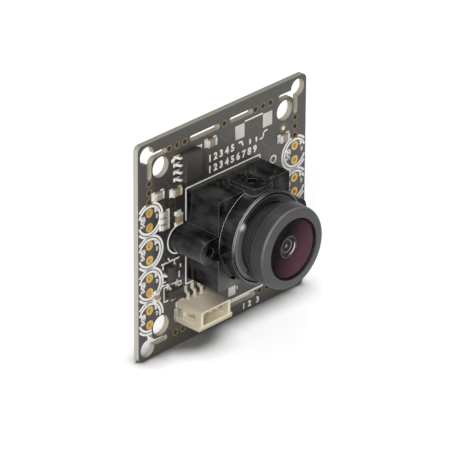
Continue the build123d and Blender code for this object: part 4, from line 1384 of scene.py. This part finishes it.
class CAMERA_OT_holder(bpy.types.Operator):
    """Lens holder and its screws"""
    bl_idname = "camera_module.holder"
    bl_label = "Lens holder"

    def execute(self, context):
        settings = context.scene.module_holder
        dressed(
            "lens_holder", "module", holder_finish(settings),
            edge=settings.edge / MM, edge_material=holder_edge_highlight_finish(),
        )
        steel = worn("screw_steel", "3b3b3d", "28282a", 0.35, metallic=0.9)
        dressed("holder_screws", "module", steel, edge=0.04)
        dressed("lens_lock_screw", "module", steel, edge=0.03)
        return {"FINISHED"}


def barrel_outline():
    """Threaded barrel with its wide, grooved head, from the rear lip forward and back inside."""
    rear, front = BARREL_LOW.z, BARREL_HIGH.z
    head, core = BARREL_HIGH.x, THREAD_RADIUS - THREAD_DEPTH
    groove = head - HEAD_GROOVE_DEPTH
    groove_rear, groove_front = HEAD_REAR + HEAD_GROOVE_REAR, HEAD_REAR + HEAD_GROOVE_FRONT
    return [
        (REAR_LIP_RADIUS, rear),
        (core, rear),
        (core, HEAD_REAR),
        (head - HEAD_REAR_CHAMFER, HEAD_REAR),
        (head, HEAD_REAR + HEAD_REAR_CHAMFER),
        (head, groove_rear),
        (groove, groove_rear + HEAD_GROOVE_SLOPES[0]),
        (groove, groove_front),
        (head, groove_front + HEAD_GROOVE_SLOPES[1]),
        (head - HEAD_TAPER, front),
        (HEAD_BORE_RADIUS, front),
        (HEAD_BORE_RADIUS, HEAD_BORE_FLOOR),
        (REAR_BORE_RADIUS, HEAD_BORE_FLOOR),
        (REAR_BORE_RADIUS, rear + REAR_LIP),
        (REAR_LIP_RADIUS, rear + REAR_LIP),
    ]


def bezel_outline():
    """Ring that tapers from the head to the window, with a lip over the glass."""
    outer, low, high = BEZEL_HIGH.x, BEZEL_LOW.z, BEZEL_HIGH.z
    return [
        (HEAD_BORE_RADIUS, low),
        (outer, low),
        (outer - BEZEL_TAPER, low + BEZEL_RIM_RISE),
        (WINDOW_RADIUS, high),
        (WINDOW_RADIUS, high - BEZEL_LIP),
        (HEAD_BORE_RADIUS, high - BEZEL_LIP),
    ]


def profile_shares():
    """Shares from 0 to 1 for the steps of a curved outline."""
    return [step / PROFILE_STEPS for step in range(PROFILE_STEPS + 1)]


def glass_height(radius):
    """Height of the front glass's dome at a distance from the optical axis."""
    return GLASS_HIGH.z - (radius / DOME_RADIUS) ** 2


def dome_outline():
    """Front glass: a dome, hollow behind, with a flange round its edge."""
    rim = GLASS_HIGH.x
    crown = GLASS_HIGH.z - CROWN_THICKNESS
    sag = crown - (glass_height(HOLLOW_RADIUS) - HOLLOW_NECK)
    shares = profile_shares()
    dome = [(rim * share, glass_height(rim * share)) for share in shares]
    flange = [(rim, GLASS_LOW.z), (HOLLOW_RADIUS, GLASS_LOW.z)]
    hollow = [(HOLLOW_RADIUS * share, crown - sag * share ** 2) for share in reversed(shares)]
    return dome + flange + hollow


def bowl_outline():
    """Baffle: a shallow dish from its rim down to the bore that holds the second glass."""
    outer, back, rim_height = BAFFLE_HIGH.x, BAFFLE_LOW.z, BAFFLE_HIGH.z
    rim, bore = BAFFLE_RIM_RADIUS, BAFFLE_BORE_RADIUS
    shoulder = rim_height - BAFFLE_NECK
    ledge = rim_height - BAFFLE_LEDGE_DEPTH
    shares = profile_shares()
    dish = [
        (bore + (rim - bore) * share, rim_height - BAFFLE_CONE_DEPTH * (1 - share ** 1.4))
        for share in shares
    ]
    return dish + [
        (rim, shoulder),
        (outer, shoulder),
        (outer, back),
        (bore - BAFFLE_LEDGE_WIDTH, back),
        (bore - BAFFLE_LEDGE_WIDTH, ledge),
        (bore, ledge),
    ]


def pupil_outline():
    """Second glass with its stepped retaining rings, down to the small pupil."""
    rim, top, back = SECOND_HIGH.x, SECOND_HIGH.z, SECOND_LOW.z
    steps = [(radius, top - depth) for radius, depth in PUPIL_STEPS]
    return steps + [(rim, top), (rim, back), (0.0, back)]


class CAMERA_OT_lens(bpy.types.Operator):
    """Lens barrel with its thread, lock ring, bezel and glass"""
    bl_idname = "camera_module.lens"
    bl_label = "Lens"

    def execute(self, context):
        settings = context.scene.module_lens
        sides = settings.turned_sides
        anodised = barrel_finish(settings)
        barrel = rounded(barrel_outline(), TURNED_EDGE)
        turned("barrel", barrel, sides, "lens_barrel", "lens_barrel", anodised)
        grown(
            "barrel_thread", drawing_points("thread_seed", [(0, 0)]), thread_tree(),
            "lens_barrel", "barrel_metal",
            Root_Radius=(THREAD_RADIUS - THREAD_DEPTH) * MM, Crest_Radius=THREAD_RADIUS * MM,
            Pitch=settings.thread_pitch, Start=(BARREL_LOW.z + THREAD_RELIEF) * MM,
            Length=(HEAD_REAR - BARREL_LOW.z - 2 * THREAD_RELIEF) * MM,
            Sides=THREAD_SIDES, Material=anodised,
        )
        bezel, satin = rounded(bezel_outline(), BEZEL_EDGE), bezel_finish(settings)
        turned("bezel", bezel, sides, "lens_barrel", "front_bezel", satin)
        dressed("lock_ring", "lens_barrel", ring_finish(), edge=0.08)
        front = coated_glass("front_glass", rgb("0d070b"), 0.03, 0.14)
        coating = baffle_finish(settings)
        for name, outline, slot, node, material in (
            ("glass_dome", dome_outline(), "front_glass", "front_element", front),
            ("glass_bowl", bowl_outline(), "baffle_coating", "lens_baffle", coating),
            ("inner_lens", pupil_outline(), "clear_glass", "second_element", pupil_finish()),
        ):
            turned(name, outline, sides, "lens_glass", node, material)
        black = worn("inner_metal", "1c1c1d", "141415", 0.45)
        clear = coated_glass("clear_glass", rgb("6f8fb0"), 0.15)
        dressed_rows("lens_glass", [
            ("spacer_ring", "barrel_metal", black, 0.0),
            ("aperture_stop", "barrel_metal", black, 0.0),
            ("middle_element", "clear_glass", clear, 0.0),
            ("rear_element", "clear_glass", clear, 0.0),
        ])
        return {"FINISHED"}


class CAMERA_OT_sensor(bpy.types.Operator):
    """Image sensor under the lens and the filter over it"""
    bl_idname = "camera_module.sensor"
    bl_label = "Image sensor"

    def execute(self, context):
        ceramic = moulded_finish("sensor_ceramic", "4a4644", 0.6)
        silicon = worn("silicon", "47505c", "333b52", 0.18, metallic=0.5)
        window = coated_glass("sensor_window", rgb("8fb0a0"), 0.08)
        dyed = coated_glass("filter_glass", rgb("8a4560"), 0.2)
        dressed_rows("module", [
            ("sensor_package", "sensor_ceramic", ceramic, 0.04),
            ("sensor_die", "silicon", silicon, 0.0),
            ("sensor_window", "clear_glass", window, 0.0),
            ("infrared_filter", "filter_glass", dyed, 0.0),
        ])
        return {"FINISHED"}


class CAMERA_OT_connector(bpy.types.Operator):
    """Cable header with its pins and solder tabs"""
    bl_idname = "camera_module.connector"
    bl_label = "Connector"

    def execute(self, context):
        gold = worn("pin_plating", "e2dcc8", "cfc7ae", 0.35, metallic=0.2)
        tin = worn("tab_plating", "c4c1ba", "a9a59c", 0.35, metallic=0.75)
        dressed_rows("module", [
            ("connector_housing", "connector_plastic", connector_finish(), 0.06),
            ("connector_pins", "gold_plating", gold, 0.03),
            ("connector_tabs", "tin_plating", tin, 0.04),
        ])
        return {"FINISHED"}


def solder_seats():
    """Place and size of the solder under every terminal and lead foot."""
    seats = []
    bodies = loose_parts("chip_capacitors") + loose_parts("chip_resistors")
    for low, high in loose_parts("chip_terminals"):
        middle, size = (low + high) / 2, high - low
        nearest = min(bodies, key=lambda body: ((body[0] + body[1]) / 2 - middle).length)
        away = middle - (nearest[0] + nearest[1]) / 2
        along = 0 if abs(away.x) > abs(away.y) else 1
        outward_side = 1 if away[along] > 0 else -1
        size[1 - along] += 2 * FILLET_SIDE
        size[along] += FILLET_OVERHANG
        middle[along] += outward_side * FILLET_OVERHANG / 2
        seats.append((middle, size, size.z * FILLET_SHARE))
    for node in LEAD_NODES:
        for low, high in loose_parts(node):
            middle, size = (low + high) / 2, high - low
            along = 0 if size.x > size.y else 1
            size[1 - along] += 2 * LAND_SIDE
            size[along] += 2 * LAND_OVERHANG
            seats.append((middle, size, LAND_RISE))
    return seats


def soldered(material):
    """Solder fillets of both faces."""
    points, sizes = [], []
    for middle, size, rise in solder_seats():
        front = middle.z > 0
        points.append(Vector((middle.x, middle.y, 0.0 if front else -BOARD_THICKNESS)) * MM)
        sizes.append(Vector((size.x, size.y, rise if front else -rise)) * MM)
    seed = mesh_from("solder_places", points)
    attribute = seed.attributes.new("size", "FLOAT_VECTOR", "POINT")
    for index, size in enumerate(sizes):
        attribute.data[index].vector = size
    grown("solder", seed, solder_tree(), "module", "tin_plating", Material=material)


class CAMERA_OT_chips(bpy.types.Operator):
    """Chips and small parts of both faces, with their solder"""
    bl_idname = "camera_module.chips"
    bl_label = "Chips"

    def execute(self, context):
        epoxy = moulded_finish("chip_epoxy", "34312e", 0.45)
        chips = ("memory_chip", "regulator_chips", "processor_chip")
        dressed_rows("module", [(node, "chip_epoxy", epoxy, 0.05) for node in chips])
        lead = worn("lead_plating", "e6e3dd", "cfccc5", 0.35, metallic=0.35)
        leads = LEAD_NODES + ("chip_terminals", "tantalum_terminals")
        dressed_rows("module", [(node, "tin_plating", lead, 0.03) for node in leads])
        soldered(lead)
        ceramic = worn("capacitor_ceramic", "9c8a72", "86755a", 0.4)
        coating = worn("resistor_coating", "a59c8f", "877f73", 0.4)
        metal = worn("crystal_metal", "b9b6ae", "a39f96", 0.3, metallic=0.8)
        ferrite = moulded_finish("ferrite", "3d3d40", 0.6)
        amber = moulded_finish("tantalum_epoxy", "b58a2c", 0.5)
        dressed_rows("module", [
            ("chip_capacitors", "capacitor_ceramic", ceramic, 0.04),
            ("chip_resistors", "resistor_coating", coating, 0.03),
            ("crystal", "crystal_metal", metal, 0.08),
            ("power_inductor", "ferrite", ferrite, 0.08),
            ("tantalum_capacitors", "tantalum_epoxy", amber, 0.08),
        ])
        return {"FINISHED"}


# Stage: the camera, the floor's side and glow, and each light's place and side, in metres

VIEW_AZIMUTH = math.radians(46.26)
VIEW_ELEVATION = math.radians(27.67)
VIEW_ROLL = math.radians(0.357)
VIEW_DISTANCE = 0.673784
VIEW_SIDE = 0.000491
VIEW_RISE = -0.001360
VIEW_LENS = 338.84
VIEW_CLIP = (0.01, 20.0)
FLOOR_SIDE = 6.0
FLOOR_GLOW = 0.5
KEY_LIGHT = ((-0.576, -0.44, 0.336), 0.35)
TOP_LIGHT = ((0.0, 0.12, 0.6), 0.12)
WHITE = (1.0, 1.0, 1.0, 1.0)


def make_camera():
    """Camera at the photograph's angle, with a long lens."""
    a, e = VIEW_AZIMUTH, VIEW_ELEVATION
    ahead = Vector((math.cos(e) * math.sin(a), math.cos(e) * math.cos(a), -math.sin(e)))
    level_right = Vector((math.cos(a), -math.sin(a), 0))
    level_up = level_right.cross(ahead)
    right = level_right * math.cos(VIEW_ROLL) + level_up * math.sin(VIEW_ROLL)
    up = level_up * math.cos(VIEW_ROLL) - level_right * math.sin(VIEW_ROLL)
    camera = placed("photo_camera", bpy.data.cameras.new("photo_camera"))
    camera.data.lens = VIEW_LENS
    camera.data.clip_start, camera.data.clip_end = VIEW_CLIP
    place = right * VIEW_SIDE + up * VIEW_RISE - ahead * VIEW_DISTANCE
    turn = Matrix((right, up, -ahead)).transposed().to_4x4()
    camera.matrix_world = Matrix.Translation(place) @ turn
    bpy.context.scene.camera = camera


def seen_rays(nodes):
    """1 for rays that the camera sees plainly, in a gloss or through glass."""
    path = nodes.add("ShaderNodeLightPath")
    camera, glossy, clear = (
        Value(nodes, path.outputs[f"Is {kind} Ray"])
        for kind in ("Camera", "Glossy", "Transmission")
    )
    return (camera + glossy + clear).clamped()


def make_floor(settings):
    """Pale floor that keeps the shadow and looks white to the camera where nothing shades it."""
    height = CAD_BOX[0].z
    half = FLOOR_SIDE / 2
    corners = [(x * half, y * half, height) for x, y in ((-1, -1), (1, -1), (1, 1), (-1, 1))]
    floor = placed("floor", mesh_from("floor", corners, faces=[(0, 1, 2, 3)]))
    finish = Finish("floor")
    # The floor's colour and glow darken where an ambient occlusion node finds the object near:
    # painted contact shade round the board's foot
    sockets = {"Distance": settings.contact}
    near = finish.value("ShaderNodeAmbientOcclusion", {"samples": 16}, sockets, output=1)
    lit = ((near - 0.5) * 2.0).clamped()
    pale = finish.mix(lit, rgb("7a7a7a"), rgb("eeeeee"))
    matt = finish.value("ShaderNodeBsdfDiffuse", sockets={"Color": pale})
    sockets = {"Color": WHITE, "Strength": seen_rays(finish) * lit * FLOOR_GLOW}
    glow = finish.value("ShaderNodeEmission", sockets=sockets)
    both = finish.add("ShaderNodeAddShader")
    for index, part in enumerate((matt, glow)):
        finish.tree.links.new(part.socket, both.inputs[index])
    finish.add("ShaderNodeOutputMaterial", sockets={"Surface": Value(finish, both.outputs[0])})
    floor.data.materials.append(finish.material)


def soft_light(name, place, side, power):
    """Square soft light that faces the part's origin."""
    lamp = bpy.data.lights.new(name, "AREA")
    lamp.shape = "SQUARE"
    lamp.size = side
    lamp.energy = power
    light = placed(name, lamp)
    turn = (-Vector(place)).to_track_quat("-Z", "Y").to_matrix().to_4x4()
    light.matrix_world = Matrix.Translation(place) @ turn


def make_sky(settings):
    """Even pale light from all round, white behind the object."""
    world = bpy.data.worlds.new("sky")
    world.use_nodes = True
    nodes = Nodes(world.node_tree)
    nodes.tree.nodes.clear()
    strength = seen_rays(nodes) * (1.0 - settings.sky) + settings.sky
    sockets = {"Color": WHITE, "Strength": strength}
    glow = nodes.value("ShaderNodeBackground", sockets=sockets)
    nodes.add("ShaderNodeOutputWorld", sockets={"Surface": glow})
    bpy.context.scene.world = world


class CAMERA_OT_stage(bpy.types.Operator):
    """Floor, lights, sky and the camera at the photograph's angle"""
    bl_idname = "camera_module.stage"
    bl_label = "Stage"

    def execute(self, context):
        settings = context.scene.module_stage
        make_floor(settings)
        soft_light("key_light", *KEY_LIGHT, settings.key_power)
        soft_light("top_light", *TOP_LIGHT, settings.top_power)
        make_sky(settings)
        make_camera()
        context.scene.view_settings.view_transform = "Standard"
        return {"FINISHED"}


STEPS = (
    CAMERA_OT_board,
    CAMERA_OT_holder,
    CAMERA_OT_lens,
    CAMERA_OT_sensor,
    CAMERA_OT_connector,
    CAMERA_OT_chips,
    CAMERA_OT_stage,
)
SETTINGS = {
    "module_board": BoardSettings,
    "module_holder": HolderSettings,
    "module_lens": LensSettings,
    "module_stage": StageSettings,
}


class CAMERA_PT_module(bpy.types.Panel):
    """Buttons for every piece, and the settings under them"""
    bl_idname = "CAMERA_PT_module"
    bl_label = "Camera module"
    bl_space_type = "VIEW_3D"
    bl_region_type = "UI"
    bl_category = "Camera module"

    def draw(self, context):
        for step in STEPS:
            self.layout.operator(step.bl_idname)
        for name, group in SETTINGS.items():
            box = self.layout.box()
            settings = getattr(context.scene, name)
            for field in group.__annotations__:
                box.prop(settings, field)


def register():
    for item in (*SETTINGS.values(), *STEPS, CAMERA_PT_module):
        bpy.utils.register_class(item)
    for name, group in SETTINGS.items():
        setattr(bpy.types.Scene, name, PointerProperty(type=group))


def unregister():
    for name in SETTINGS:
        delattr(bpy.types.Scene, name)
    for item in reversed((*SETTINGS.values(), *STEPS, CAMERA_PT_module)):
        bpy.utils.unregister_class(item)


def main():
    register()
    bpy.ops.camera_module.board()
    bpy.ops.camera_module.holder()
    bpy.ops.camera_module.lens()
    bpy.ops.camera_module.sensor()
    bpy.ops.camera_module.connector()
    bpy.ops.camera_module.chips()
    bpy.ops.camera_module.stage()


if __name__ == "__main__":
    main()
